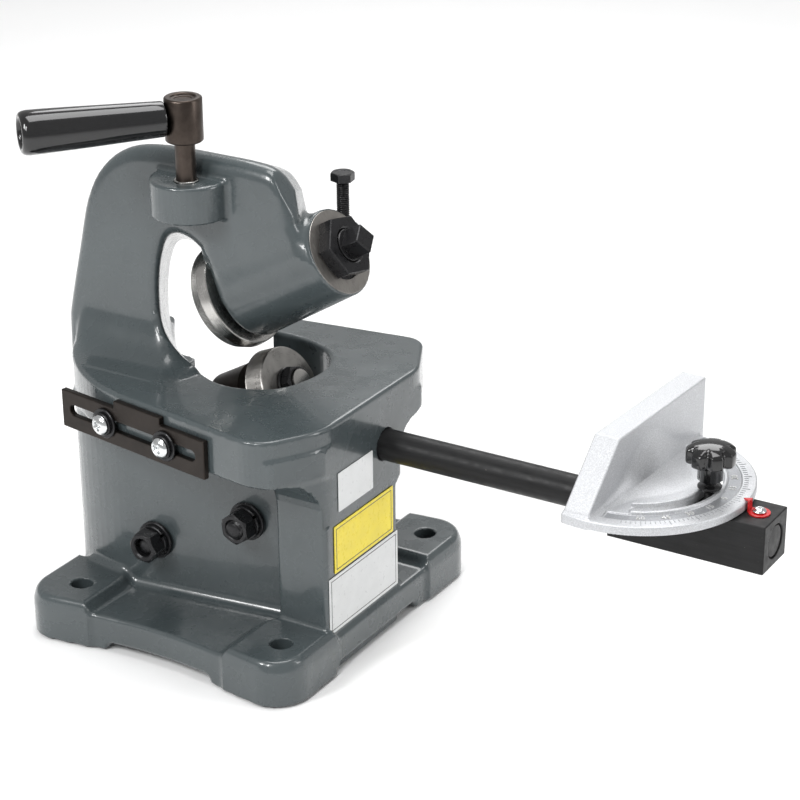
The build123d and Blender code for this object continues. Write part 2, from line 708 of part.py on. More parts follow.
# ---------------------------------------------------------------- guide rod and block
def rod_plane(x):
    """Plane across the guide rod; local z points along +X."""
    return Plane((x, MID_Y, ROD_Z), x_dir=(0, 1, 0), z_dir=(1, 0, 0))


def guide_rod():
    """Round guide rod fixed in the casting."""
    return chamfer(disc(rod_plane(ROD_X0), ROD_R, ROD_X1 - ROD_X0).edges().filter_by(GeomType.CIRCLE), 0.6)


def rod_set_screw():
    """Grub screw that locks the rod in the casting."""
    return disc(level(64, MID_Y, ROD_Z - 18), 3.0, 18 - ROD_R)


def guide_block():
    """Square block that slides on the rod and carries the protractor head."""
    half = BLOCK_WIDTH / 2
    body = box(BLOCK_X0, BLOCK_X1, MID_Y - half, MID_Y + half, ROD_Z - BLOCK_HEIGHT / 2, BLOCK_TOP)
    body = chamfer(body.edges(), 0.7)
    body -= disc(rod_plane(BLOCK_X0 - 1), ROD_R + FIT, BLOCK_X1 - BLOCK_X0 + 2)
    body -= disc(level(PIVOT_X, MID_Y, BLOCK_TOP - 4.5), 4.0, 5)
    body -= disc(level(PIVOT_X + SLOT_R, MID_Y, BLOCK_TOP - 4.5), 3.0, 5)
    body -= disc(level(POINTER_X, MID_Y, BLOCK_TOP - 4.5), 2.0, 5)
    body -= disc(wall_plane(300, MID_Y - ROD_R + 1, ROD_Z), 3.0, 10)
    return body


def block_set_screw():
    """Grub screw in the block's near side that holds it on the rod."""
    start = MID_Y - ROD_R - 0.1
    return disc(wall_plane(300, start, ROD_Z), 3.0, 5.4) - hexagon(wall_plane(300, start - 3.4, ROD_Z), 3.0, 3)


def miter_head():
    """Cast protractor head: half disc with scale band and arc slot, and an upright fence."""
    z0 = BLOCK_TOP + 0.3
    front_x = -FENCE_FRONT
    plate = Circle(HEAD_R) & Pos(front_x + 100, 0) * Rectangle(200, 200)
    body = extrude(level(0, 0, z0) * plate, amount=PLATE_THICK)
    band = Circle(BAND_R1) - Circle(BAND_R0)
    band &= Pos(front_x + FENCE_THICK + 103, 0) * Rectangle(200, 200)
    body -= extrude(level(0, 0, PLATE_TOP - BAND_DEPTH) * band, amount=5)
    ribs = Circle(SLOT_R + ARC_SLOT_HALF + RIB_WIDTH) - Circle(SLOT_R - ARC_SLOT_HALF - RIB_WIDTH)
    ribs &= Pos(front_x + FENCE_THICK + 108, 0) * Rectangle(200, 200)
    body += extrude(level(0, 0, PLATE_TOP - 1) * ribs, amount=RIB_HEIGHT + 1)
    corners = ((FENCE_Y0, z0), (FENCE_Y1, z0), (FENCE_Y1, FENCE_TOP), (FENCE_TOP_Y0, FENCE_TOP))
    fence_plan = Polyline(*corners, close=True)
    fence = extrude(Plane.YZ.offset(front_x) * make_face(fence_plan), amount=FENCE_THICK)
    body += fence
    back_x = front_x + FENCE_THICK
    gusset = ((back_x - 1, PLATE_TOP - 1), (back_x + 7, PLATE_TOP - 1), (back_x - 1, PLATE_TOP + 9))
    sweep = Plane.XZ * make_face(Polyline(*gusset, close=True))
    body += Pos(0, 35, 0) * extrude(sweep, amount=60)
    slot_face = Circle(SLOT_R + ARC_SLOT_HALF) - Circle(SLOT_R - ARC_SLOT_HALF)
    reach = 120.0
    half = math.radians(SLOT_SPAN)
    end_x = reach * math.cos(half)
    end_y = reach * math.sin(half)
    rays = ((0, 0), (end_x, -end_y), (reach, -reach * 0.4), (reach, reach * 0.4), (end_x, end_y))
    wedge = make_face(Polyline(*rays, close=True))
    body -= extrude(level(0, 0, z0 - 1) * (slot_face & wedge), amount=RIB_HEIGHT + PLATE_THICK + 4)
    body -= disc(level(0, 0, z0 - 1), 4.0 + FIT, 60)
    body -= disc(level(0, 0, PLATE_TOP - 1.5), PIVOT_POCKET_R, PIVOT_POCKET_HEIGHT)
    return head_frame(body)


def pivot_screw():
    """Shoulder screw that the head swings on."""
    body = disc(level(PIVOT_X, MID_Y, BLOCK_TOP - 4.4), 4.0, 4.4 + 0.3 + PLATE_THICK + 0.4)
    return body + disc(level(PIVOT_X, MID_Y, PLATE_TOP + 0.3), 7.5, 3.5)


def knob_stud():
    """Threaded stud that the clamp knob turns on."""
    return disc(level(PIVOT_X + SLOT_R, MID_Y, BLOCK_TOP - 4.4), 3.0, 28)


def knob_washer():
    """Washer between knob and slot."""
    return ring(level(PIVOT_X + SLOT_R, MID_Y, PLATE_TOP + RIB_HEIGHT + 0.3), 7.0, 3.0 + FIT, 1.5)


def clamp_knob():
    """Lobed plastic knob."""
    plan = Circle(KNOB_R - 1.5)
    for index in range(KNOB_LOBES):
        plan += Rot(0, 0, index * 360 / KNOB_LOBES) * Pos(KNOB_R - 3.4, 0) * Circle(3.4)
    body = extrude(level(0, 0, KNOB_Z0) * plan, amount=KNOB_Z1 - KNOB_Z0)
    body += disc(level(0, 0, KNOB_STEM_Z0), KNOB_STEM_R, KNOB_Z0 - KNOB_STEM_Z0 + 1)
    body -= disc(level(0, 0, KNOB_STEM_Z0 - 1), 3.0 + FIT, 17)
    return Pos(PIVOT_X + SLOT_R, MID_Y, 0) * body


def pointer():
    """Bent pointer: a round foot under its screw and a tip just over the scale."""
    foot = disc(level(0, 0, BLOCK_TOP), POINTER_R, 0.8) - disc(level(0, 0, BLOCK_TOP - 1), 2.0 + FIT, 3)
    lift = PLATE_TOP + 0.5 - BLOCK_TOP
    riser = box(-POINTER_R, 0.8 - POINTER_R, -2.5, 2.5, BLOCK_TOP, BLOCK_TOP + lift)
    tip = prism([(0.8 - POINTER_R, -2.5), (-POINTER_R - 3.5, 0), (0.8 - POINTER_R, 2.5)], BLOCK_TOP + lift,
                BLOCK_TOP + lift + 0.8)
    return Pos(POINTER_X, MID_Y, 0) * (foot + riser + tip)


def pointer_screw():
    """Small cross-head screw on the pointer."""
    body = disc(level(POINTER_X, MID_Y, BLOCK_TOP - 4.4), 2.0, 5.4)
    body += cone(level(POINTER_X, MID_Y, BLOCK_TOP + 1.0), 4.0, 2.8, 2.6)
    cross = Rot(0, 0, 30) * (Rectangle(4, 0.9) + Rectangle(0.9, 4))
    return body - extrude(level(POINTER_X, MID_Y, BLOCK_TOP + 2.4) * cross, amount=3)


# ---------------------------------------------------------------- plain plates
def front_plate(y0, y1, z0, z1):
    """A thin plate on the pedestal's front face."""
    plane = Plane((FRONT_X, (y0 + y1) / 2, (z0 + z1) / 2), x_dir=(0, 1, 0), z_dir=(1, 0, 0))
    return extrude(plane * RectangleRounded(y1 - y0, z1 - z0, 1.0), amount=0.5)


PARTS = {
    "frame_casting": frame_casting,
    "eccentric_sleeve": eccentric_sleeve,
    "sleeve_bushes": upper_bushes,
    "drive_shaft": drive_shaft,
    "upper_blade": upper_blade,
    "blade_key": blade_key,
    "blade_washer": blade_washer,
    "blade_screw": blade_screw,
    "clamp_bolt": clamp_bolt,
    "lower_blade": lower_blade,
    "lower_bush": lower_bush,
    "lower_axle": lower_axle,
    "axle_washer": axle_washer,
    "axle_nut": axle_nut,
    "lower_blade_carrier": lower_blade_carrier,
    "carrier_studs": carrier_studs,
    "stud_washers": stud_washers,
    "stud_spring_washers": stud_spring_washers,
    "stud_nuts": stud_nuts,
    "handle_spindle": handle_spindle,
    "handle_knuckle": handle_knuckle,
    "grip_bolt": grip_bolt,
    "handle_grip": handle_grip,
    "edge_bracket": edge_bracket,
    "bracket_washers": bracket_washers,
    "bracket_screws": bracket_screws,
    "guide_rod": guide_rod,
    "rod_set_screw": rod_set_screw,
    "guide_block": guide_block,
    "block_set_screw": block_set_screw,
    "miter_head": miter_head,
    "pivot_screw": pivot_screw,
    "knob_stud": knob_stud,
    "knob_washer": knob_washer,
    "clamp_knob": clamp_knob,
    "pointer": pointer,
    "pointer_screw": pointer_screw,
    "mark_plate": lambda: front_plate(-46, -7, 106, 131.5),
    "maker_plate": lambda: front_plate(-51.5, 16, 66.5, 98),
    "model_plate": lambda: front_plate(-58, 21, 27, 65),
}

os.makedirs("parts", exist_ok=True)
for name, make in PARTS.items():
    export_step(make(), "parts/" + name + ".step")
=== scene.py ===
"""Looks of the manual rolling shear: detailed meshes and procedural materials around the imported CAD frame.

Lengths are in millimetres until a mesh is made, and the casting is one implicit solid turned into a mesh."""

import json
import math

import bmesh
import bpy
import numpy as np
from mathutils import Matrix, Vector

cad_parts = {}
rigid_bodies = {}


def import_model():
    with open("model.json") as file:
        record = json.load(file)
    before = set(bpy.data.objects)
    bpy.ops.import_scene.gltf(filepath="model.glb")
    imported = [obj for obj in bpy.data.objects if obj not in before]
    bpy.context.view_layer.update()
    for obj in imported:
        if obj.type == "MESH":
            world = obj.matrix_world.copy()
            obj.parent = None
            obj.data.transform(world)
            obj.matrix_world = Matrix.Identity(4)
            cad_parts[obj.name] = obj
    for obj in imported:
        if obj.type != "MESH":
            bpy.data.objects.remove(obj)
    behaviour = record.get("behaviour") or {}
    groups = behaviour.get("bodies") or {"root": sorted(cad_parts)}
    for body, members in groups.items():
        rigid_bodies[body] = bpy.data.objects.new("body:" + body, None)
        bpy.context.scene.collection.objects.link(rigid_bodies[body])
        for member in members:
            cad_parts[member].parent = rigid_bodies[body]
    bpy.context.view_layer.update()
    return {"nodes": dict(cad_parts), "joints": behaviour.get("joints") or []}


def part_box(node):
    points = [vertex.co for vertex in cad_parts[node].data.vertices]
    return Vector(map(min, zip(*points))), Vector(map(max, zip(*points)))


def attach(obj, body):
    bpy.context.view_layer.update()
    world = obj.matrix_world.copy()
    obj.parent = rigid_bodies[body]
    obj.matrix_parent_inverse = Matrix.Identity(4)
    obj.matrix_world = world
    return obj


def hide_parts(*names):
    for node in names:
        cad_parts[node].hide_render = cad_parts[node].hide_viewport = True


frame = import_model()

MM = 0.001
for unused in [o for o in bpy.context.scene.objects if o.name in ("Cube", "Light", "Camera")]:
    bpy.data.objects.remove(unused)
JOINTS = {joint["name"]: joint for joint in frame["joints"]}


# ================================================================ places from the frame
def joint_point(name):
    """A joint's position in millimetres."""
    return np.array(JOINTS[name]["pos_m"], float) * 1000.0


def joint_axis(name):
    """A joint's unit axis."""
    axis = np.array(JOINTS[name]["axis"], float)
    return axis / np.linalg.norm(axis)


def node_box(node):
    """A node's lowest and highest corners in millimetres."""
    low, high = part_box(node)
    return np.array(low) * 1000.0, np.array(high) * 1000.0


UP = np.array((0.0, 0.0, 1.0))
EAST = np.array((1.0, 0.0, 0.0))
NORTH = np.array((0.0, 1.0, 0.0))
RING = joint_point("sleeve_turn")
DRIVE = joint_axis("sleeve_turn")
RISE = np.array((-DRIVE[2], 0.0, DRIVE[0]))
SHAFT = joint_point("blade_spin")
ROLL = joint_point("lower_blade_spin")
SPINDLE = joint_point("handle_turn")
GRIP = joint_point("grip_spin")
GRIP_AXIS = joint_axis("grip_spin")
SIDE_RUN = joint_axis("bracket_slide")
SIDE_OUT = np.array((SIDE_RUN[1], -SIDE_RUN[0], 0.0))
PIVOT = joint_point("head_swing")
KNOB = joint_point("knob_turn")
MID_Y = float(RING[1])
ROD_R = 10.0
ROD_Z = float(node_box("guide_rod")[0][2] + ROD_R)


class Place:
    """A local frame: u and v across, w along the axis, with points given in millimetres."""

    def __init__(self, origin, w, u):
        self.origin = np.array(origin, float)
        self.w = np.array(w, float) / np.linalg.norm(w)
        u = np.array(u, float) - self.w * np.dot(u, self.w)
        self.u = u / np.linalg.norm(u)
        self.v = np.cross(self.w, self.u)

    def point(self, u, v, w):
        """The world point of local u, v, w."""
        return self.origin + self.u * u + self.v * v + self.w * w

    def moved(self, u=0.0, v=0.0, w=0.0):
        """The same frame with its origin moved in its own directions."""
        return Place(self.point(u, v, w), self.w, self.u)

    def turned(self, degrees):
        """The same frame turned about its axis."""
        angle = math.radians(degrees)
        return Place(self.origin, self.w, self.u * math.cos(angle) + self.v * math.sin(angle))


def barrel_place(centre):
    """A place on a blade axis, with u along +Y and v up the barrel."""
    return Place(centre, DRIVE, NORTH)


def side_place(s, z, out=0.0):
    """A place on the table's near side, s along it, z up and w out of it."""
    return Place(SIDE_RUN * s + SIDE_OUT * (SIDE_PLANE + out) + UP * z, SIDE_OUT, SIDE_RUN)


# ================================================================ driving dimensions of the casting
SIDE_PLANE = 84.6
FOOT_HOLES = [(sx * 76.0, sy * 85.0) for sx in (-1, 1) for sy in (-1, 1)]
FOOT_HOLE_R = 7.0
BASE_X = (-104.0, 96.0)
BASE_Y = 110.5
BASE_TOP = 23.5
EAR_TOP = 30.0
TABLE_Z = (135.0, 165.0)
FRONT_X = (57.5, 93.3)
FACE_Y = -20.0
FAR_Y = 30.0
SWEEP_R = 31.0
RING_R = 27.5
BARREL_END_R = 30.5
BARREL_LENGTH = 77.5
SLEEVE_R = 17.0
STUD_SEATS = ((-37.2, -56.0, 58.5), (28.0, -47.5, 84.5))
CASTING_BOX = ((-134.0, -113.0, -3.0), (99.0, 113.0, 310.0))
CASTING_STEP, CASTING_QUICK_STEP = 1.8, 3.0


# ================================================================ implicit solids (distance fields)
def hyp(a, b):
    """Length of the vector (a, b)."""
    return np.sqrt(a * a + b * b)


def union_round(a, b, r):
    """Union with a concave fillet."""
    u = np.maximum(r - a, 0.0)
    v = np.maximum(r - b, 0.0)
    return np.maximum(r, np.minimum(a, b)) - hyp(u, v)


def intersect_round(a, b, r):
    """Intersection with a rounded edge."""
    u = np.maximum(r + a, 0.0)
    v = np.maximum(r + b, 0.0)
    return np.minimum(-r, np.maximum(a, b)) + hyp(u, v)


def cut_round(a, b, r):
    """a without b, with a rounded edge."""
    return intersect_round(a, -b, r)


def slab(x, low, high):
    """Distance to the space between two parallel planes."""
    return np.abs(x - (low + high) / 2.0) - (high - low) / 2.0


def box2(x, y, x0, x1, y0, y1, r):
    """A rectangle with rounded corners."""
    qx = slab(x, x0 + r, x1 - r)
    qy = slab(y, y0 + r, y1 - r)
    outside = np.sqrt(np.maximum(qx, 0.0) ** 2 + np.maximum(qy, 0.0) ** 2)
    return outside + np.minimum(np.maximum(qx, qy), 0.0) - r


def polygon(x, y, points):
    """Signed distance to a closed outline, negative inside."""
    points = np.array(points, float)
    nearest = 1e12
    sign = 1.0
    for (ax, ay), (bx, by) in zip(points, np.roll(points, 1, axis=0)):
        ex, ey = bx - ax, by - ay
        wx, wy = x - ax, y - ay
        t = np.clip((wx * ex + wy * ey) / (ex * ex + ey * ey), 0.0, 1.0)
        nearest = np.minimum(nearest, (wx - ex * t) ** 2 + (wy - ey * t) ** 2)
        above = y >= ay
        below = y < by
        left = ex * wy > ey * wx
        flip = (above & below & left) | (~above & ~below & ~left)
        sign = np.where(flip, -sign, sign)
    return sign * np.sqrt(nearest)


def rounded(corners, steps=6):
    """An outline from (x, y, radius) corners, with an arc at each corner that has a radius."""
    points = []
    count = len(corners)
    for index, (x, y, r) in enumerate(corners):
        here = np.array((x, y), float)
        if r <= 0:
            points.append(tuple(here))
            continue
        before = np.array(corners[index - 1][:2], float) - here
        after = np.array(corners[(index + 1) % count][:2], float) - here
        before /= np.linalg.norm(before)
        after /= np.linalg.norm(after)
        half = math.acos(max(-1.0, min(1.0, float(before @ after)))) / 2.0
        middle = before + after
        centre = here + middle / np.linalg.norm(middle) * (r / math.sin(half))
        start = here + before * (r / math.tan(half)) - centre
        turn = math.pi - 2.0 * half
        if before[0] * after[1] - before[1] * after[0] > 0:
            turn = -turn
        for step in range(steps + 1):
            angle = turn * step / steps
            c, s = math.cos(angle), math.sin(angle)
            points.append((centre[0] + start[0] * c - start[1] * s, centre[1] + start[0] * s + start[1] * c))
    return points


def spline(points, steps=5):
    """Points along an open curve that passes through the given points."""
    p = np.array([points[0]] + list(points) + [points[-1]], float)
    out = []
    for i in range(1, len(p) - 2):
        for step in range(steps):
            t = step / steps
            out.append(0.5 * (2 * p[i] + (p[i + 1] - p[i - 1]) * t
                              + (2 * p[i - 1] - 5 * p[i] + 4 * p[i + 1] - p[i + 2]) * t * t
                              + (3 * p[i] - p[i - 1] - 3 * p[i + 1] + p[i + 2]) * t ** 3))
    out.append(p[-2])
    return [tuple(q) for q in out]


def along(x, z):
    """Distance back from the ring face, and height above the barrel axis, in its plane."""
    back = (RING[0] - x) * DRIVE[0] + (RING[2] - z) * DRIVE[2]
    rise = (x - RING[0]) * RISE[0] + (z - RING[2]) * RISE[2]
    return back, rise


# ---------------------------------------------------------------- parts of the casting
def base_field(x, y, z):
    """The base: a saddle between four raised ears, arched under its middle."""
    plan = box2(x, y, BASE_X[0], BASE_X[1], -BASE_Y, BASE_Y, 22.0)
    waist = 200.0
    for side in (-1, 1):
        hollow = hyp(x + 6.0, y - side * (waist + BASE_Y - 7.5)) - waist
        plan = cut_round(plan, hollow, 12.0)
    saddle = intersect_round(plan, slab(z, -30.0, BASE_TOP), 3.0)
    ears = 1e3
    for side in (-1, 1):
        left = box2(x, y, -130.0, -57.0, *sorted((side * 53.0, side * 130.0)), 17.0)
        right = box2(x, y, 50.0, 130.0, *sorted((side * 56.0, side * 130.0)), 14.0)
        ears = np.minimum(ears, np.minimum(left, right))
    ears = intersect_round(np.maximum(ears, plan + 0.01), slab(z, -30.0, EAR_TOP), 3.6)
    body = union_round(saddle, ears, 7.0)
    arch_z = z - 5.2
    body = cut_round(body, intersect_round(slab(x, -44.0, 36.0), arch_z, 5.0), 3.0)
    body = cut_round(body, intersect_round(slab(y, -56.0, 40.0), arch_z, 5.0), 3.0)
    body = cut_round(body, np.maximum(box2(x, y, -88.0, 78.0, -72.0, 72.0, 10.0), z - 14.0), 1.0)
    return intersect_round(body, -z, 1.5)


def wall_field(x, y, z):
    """The pedestal's near wall with its rounded tail, open towards the far side."""
    near = spline([(68, -41.5), (26, -47.3), (-38, -55.8), (-70, -57.5), (-98, -49), (-114, -34),
                   (-122, -16), (-124, 9)])
    plan = near + [(-118, 34), (-98, 44), (-72, 40), (-62, -36), (68, -30)]
    body = np.maximum(polygon(x, y, plan), slab(z, 0.0, 140.0))
    neck = intersect_round(x + 113.0, slab(z, 111.0, 160.0), 6.0)
    return cut_round(body, neck, 6.0)


def front_field(x, y, z):
    """The front wall and its shoulders under the table's two lobes."""
    under = TABLE_Z[0] + 1.0
    profile = [(22.0, -20.0), (-60.0, -20.0)]
    quarter = np.linspace(0.0, math.pi / 2, 9)
    profile += [(-90.0 + 30.0 * math.cos(a), under - 30.0 + 30.0 * math.sin(a)) for a in quarter]
    profile += [(-90.0, 150.0), (53.0, 150.0)]
    profile += [(53.0 - 25.0 * math.sin(a), under - 22.0 + 25.0 * math.cos(a)) for a in quarter]
    profile += [(28.0, 101.0), (22.0, 96.0)]
    body = intersect_round(polygon(y, z, profile), slab(x, *FRONT_X), 2.5)
    body = np.maximum(body, np.minimum(table_plan(x, y), z - 100.0))
    return cut_round(body, box2(x, y, 40.0, 78.0, -40.0, 60.0, 4.0), 1.0)


def table_plan(x, y):
    """Plan of the table, without its pocket."""
    left = spline([(-127, 44), (-129, 9.5), (-118, -26), (-98, -51), (-72, -69), (-45, -78.4)])
    right = rounded([(-45, -78.4, 0), (71, -97.7, 21), (93.3, -60, 45), (93.3, 50, 34), (71, 93, 16),
                     (-22, 81, 8),
                     (-22, 44, 0)], 7)
    return polygon(x, y, left[:-1] + right)


def pocket_plan(x, y):
    """Plan of the opening round the lower blade and behind it."""
    rim = spline([(-20, 54), (5, 52.5), (29, 43.5), (42, 24), (41.5, -2), (31, -23), (6, -32.5), (-20, -24.5),
                  (-51, -4.5), (-76, 24), (-98, 56)])
    return polygon(x, y, rim + [(-98, 130), (-20, 130)])


def post_outline(x, z):
    """Outer outline of the C-shaped frame at its near face, down to the barrel's axis."""
    back = spline([(-131, 120), (-130.5, 172), (-128, 190), (-119, 226), (-109.5, 262), (-96, 285),
                   (-76, 299.5),
                   (-50, 304.5), (-10, 305), (22, 304.5), (36, 301.5), (44.5, 292)], 4)
    top = RING + RISE * (RING_R - 1.0)
    rear = RING - DRIVE * BARREL_LENGTH
    rear_top = rear + RISE * 27.0
    arm = [(top[0], top[2]), (RING[0], RING[2]), (rear[0], rear[2]), (rear_top[0], rear_top[2]), (-20, 130),
           (-131, 130)]
    return polygon(x, z, back + arm)


def throat_outline(x, z):
    """The throat at the near face."""
    left = spline([(-20, 246), (-28, 251), (-38, 252.5), (-46, 247), (-51.5, 230), (-53.5, 208),
                   (-51.5, 188), (-42, 174.5),
                   (-29, 166.5), (-10, 163)])
    return polygon(x, z, left + [(9, 180), (-5, 211), (-18, 234)])


def arm_field(x, y, z):
    """The C-shaped frame, its barrel, boss and clamp lugs."""
    depth = np.clip(y - FACE_Y, -2.0, FAR_Y - FACE_Y + 12.0)
    shrink = 1.0 - 0.26 * depth / 50.0
    outer = post_outline(-50.0 + (x + 50.0) / shrink, 225.0 + (z - 225.0) / shrink) * shrink
    body = intersect_round(outer - 3.6, slab(y, FACE_Y, FAR_Y + 6.0), 14.0)
    corner = SWEEP_R - hyp(y - FACE_Y + SWEEP_R, z - TABLE_Z[1] - SWEEP_R)
    sweep = np.maximum(np.maximum(corner, slab(y, FACE_Y - SWEEP_R, 10.0)),
                       slab(z, TABLE_Z[1] - 8.0, TABLE_Z[1] + SWEEP_R))
    edge = np.maximum(table_plan(x, y), outer)
    sweep = intersect_round(np.maximum(sweep, x - 40.0), edge, 9.0)
    body = union_round(body, sweep, 1.0)
    throat = throat_outline(x + 0.61 * depth, z + 0.516 * depth)
    body = cut_round(body, throat * 0.8, 6.5)
    back, rise = along(x, z)
    across = y - MID_Y
    radius = RING_R + (BARREL_END_R - RING_R) * back / BARREL_LENGTH
    barrel = hyp(rise, across) - radius
    barrel = intersect_round(barrel, slab(back, -20.0, BARREL_LENGTH), 5.0)
    body = union_round(body, barrel, 6.0)
    lug = hyp(x - 50.5, y - 32.0) - 9.5
    lug = np.maximum(np.minimum(lug, box2(x, y, 34.0, 57.0, 14.0, 32.0, 3.0)), slab(z, 232.0, 257.0))
    body = union_round(body, lug, 4.0)
    boss = polygon(x, y, rounded([(-48, 30, 0), (-48, -47, 24.4), (1, -47, 24.4), (1, 30, 0)], 12))
    boss = intersect_round(boss, slab(z, 268.0, 291.5), 1.6)
    body = union_round(body, np.maximum(boss, y - 10.0), 3.5)
    return cut_round(body, back, 1.2)


def holes_field(x, y, z):
    """All machined holes, as one distance to their material-free space."""
    back, rise = along(x, z)
    across = y - MID_Y
    holes = hyp(rise, across) - SLEEVE_R - 0.3
    holes = np.maximum(holes, slab(back, -30.0, BARREL_LENGTH + 20.0))
    for hx, hy in FOOT_HOLES:
        holes = np.minimum(holes, np.maximum(hyp(x - hx, y - hy) - FOOT_HOLE_R, z - 60.0))
    slit = np.maximum(np.maximum(slab(z, 244.0, 246.0), slab(x, 34.0, 66.0)), slab(y, MID_Y + 15.0, 60.0))
    holes = np.minimum(holes, slit)
    rod = hyp(y - MID_Y, z - ROD_Z) - 10.2
    holes = np.minimum(holes, np.maximum(rod, 50.0 - x))
    spindle = hyp(x - SPINDLE[0], y - SPINDLE[1]) - 6.5
    return np.minimum(holes, np.maximum(spindle, slab(z, 264.0, 320.0)))


def casting_field(x, y, z):
    """The whole casting."""
    table = intersect_round(table_plan(x, y), slab(z, *TABLE_Z), 2.2)
    body = union_round(arm_field(x, y, z), table, 3.0)
    pocket = np.maximum(pocket_plan(x, y), slab(z, 60.0, 176.0))
    body = cut_round(body, pocket, 2.5)
    low = union_round(base_field(x, y, z), wall_field(x, y, z), 6.0)
    low = union_round(low, front_field(x, y, z), 3.0)
    body = union_round(body, low, 5.0)
    body = np.maximum(body, np.minimum(x - FRONT_X[1], z - 34.0))
    socket = hyp(y - MID_Y, z - ROD_Z) - 16.0
    body = np.minimum(body, np.maximum(socket, slab(x, 47.0, 92.0)))
    back, rise = along(x - ROLL[0] + RING[0], z - ROLL[2] + RING[2])
    relief = hyp(rise, y - MID_Y) - 25.0
    body = np.maximum(body, -np.maximum(relief, slab(back, 16.0, 54.0)))
    body = intersect_round(body, -z, 1.2)
    return cut_round(body, holes_field(x, y, z), 0.7)


# ---------------------------------------------------------------- meshing of an implicit solid
def surface_net(field, low, high, step):
    """Vertices and quads of a field's zero surface, drawn onto the surface and with its normals."""
    axes = [np.arange(low[i], high[i] + step, step) for i in range(3)]
    x, y, z = np.meshgrid(*axes, indexing="ij", sparse=True)
    value = np.broadcast_to(field(x, y, z), tuple(len(a) for a in axes)).astype(np.float32)
    inside = value < 0.0
    shape = tuple(n - 1 for n in value.shape)
    total = np.zeros(shape + (3,), np.float32)
    count = np.zeros(shape, np.float32)
    for axis in range(3):
        others = [a for a in range(3) if a != axis]
        first = [slice(None)] * 3
        second = [slice(None)] * 3
        first[axis] = slice(0, -1)
        second[axis] = slice(1, None)
        a, b = value[tuple(first)], value[tuple(second)]
        crossing = (a < 0.0) != (b < 0.0)
        part = np.where(crossing, a / np.where(crossing, a - b, 1.0), 0.0)
        for da in (0, 1):
            for db in (0, 1):
                window = [slice(None)] * 3
                for other, shift in zip(others, (da, db)):
                    window[other] = slice(shift, shift + shape[other])
                hit = crossing[tuple(window)]
                total[..., axis] += np.where(hit, part[tuple(window)], 0.0)
                total[..., others[0]] += hit * float(da)
                total[..., others[1]] += hit * float(db)
                count += hit
    used = count > 0
    index = np.full(shape, -1, np.int64)
    index[used] = np.arange(int(used.sum()))
    cells = np.argwhere(used)
    verts = (cells + total[used] / count[used][:, None]) * step + np.array(low)
    quads = []
    for axis in range(3):
        first = [slice(1, -1)] * 3
        second = [slice(1, -1)] * 3
        first[axis] = slice(0, -1)
        second[axis] = slice(1, None)
        here, there = inside[tuple(first)], inside[tuple(second)]
        for flip, mask in ((False, here & ~there), (True, ~here & there)):
            spots = np.argwhere(mask)
            spots += 1
            spots[:, axis] -= 1
            one, two = [a for a in range(3) if a != axis]
            ring = []
            for shift_one, shift_two in ((1, 1), (0, 1), (0, 0), (1, 0)):
                cell = spots.copy()
                cell[:, one] -= shift_one
                cell[:, two] -= shift_two
                ring.append(index[tuple(cell.T)])
            quad = np.stack(ring, axis=1)
            quads.append(quad[:, ::-1] if flip == (axis != 1) else quad)
    limit = step * 0.6
    for _ in range(4):
        distance, slope = field_slope(field, verts)
        move = slope * (distance / np.maximum((slope ** 2).sum(1), 0.2))[:, None]
        length = np.linalg.norm(move, axis=1, keepdims=True)
        verts = verts - move * np.minimum(1.0, limit / np.maximum(length, 1e-9))
    normal = field_slope(field, verts)[1]
    normal /= np.maximum(np.linalg.norm(normal, axis=1, keepdims=True), 1e-9)
    return verts, np.concatenate(quads), normal


def field_slope(field, points, reach=0.15):
    """A field and its gradient at points."""
    slope = np.empty_like(points)
    for axis in range(3):
        shift = np.zeros(3)
        shift[axis] = reach
        ahead = field(*(points + shift).T)
        behind = field(*(points - shift).T)
        slope[:, axis] = (ahead - behind) / (2.0 * reach)
    return field(*points.T), slope


def make_casting():
    """The casting's mesh, with normals taken from the field."""
    verts, quads, normal = surface_net(casting_field, *CASTING_BOX,
                                       CASTING_STEP)
    mesh = bpy.data.meshes.new("casting_body")
    mesh.from_pydata((verts * MM).tolist(), [], quads.tolist())
    mesh.polygons.foreach_set("use_smooth", [True] * len(mesh.polygons))
    mesh.update()
    mesh.normals_split_custom_set_from_vertices(normal.tolist())
    piece = bpy.data.objects.new("casting_body", mesh)
    bpy.context.scene.collection.objects.link(piece)
    return piece


# ================================================================ mesh helpers
def placed(name, place, verts, faces, normals=None, sharp=32.0):
    """An object from local points in millimetres, which also keep their local place as an attribute."""
    local = np.array(verts, float)
    turn = np.array((place.u, place.v, place.w))
    mesh = bpy.data.meshes.new(name)
    mesh.from_pydata(((place.origin + local @ turn) * MM).tolist(), [], [list(map(int, f)) for f in faces])
    mesh.update()
    if normals is None:
        shape = bmesh.new()
        shape.from_mesh(mesh)
        bmesh.ops.recalc_face_normals(shape, faces=shape.faces)
        for face in shape.faces:
            face.smooth = True
        for edge in shape.edges:
            if edge.is_manifold and edge.calc_face_angle(0.0) > math.radians(sharp):
                edge.smooth = False
        shape.to_mesh(mesh)
        shape.free()
    else:
        mesh.polygons.foreach_set("use_smooth", [True] * len(mesh.polygons))
        mesh.update()
        mesh.normals_split_custom_set_from_vertices((np.array(normals) @ turn).tolist())
    store = mesh.attributes.new("local", "FLOAT_VECTOR", "POINT")
    store.data.foreach_set("vector", (local * MM).ravel())
    piece = bpy.data.objects.new(name, mesh)
    bpy.context.scene.collection.objects.link(piece)
    return piece


def strip_faces(rows, corners):
    """The faces of a closed tube through rows of corner points, with both its ends."""
    faces = []
    for i in range(0, (rows - 1) * corners, corners):
        for k in range(corners):
            m = (k + 1) % corners
            faces.append((i + k, i + m, i + corners + m, i + corners + k))
    return faces + [list(range(corners)), [rows * corners - 1 - k for k in range(corners)]]


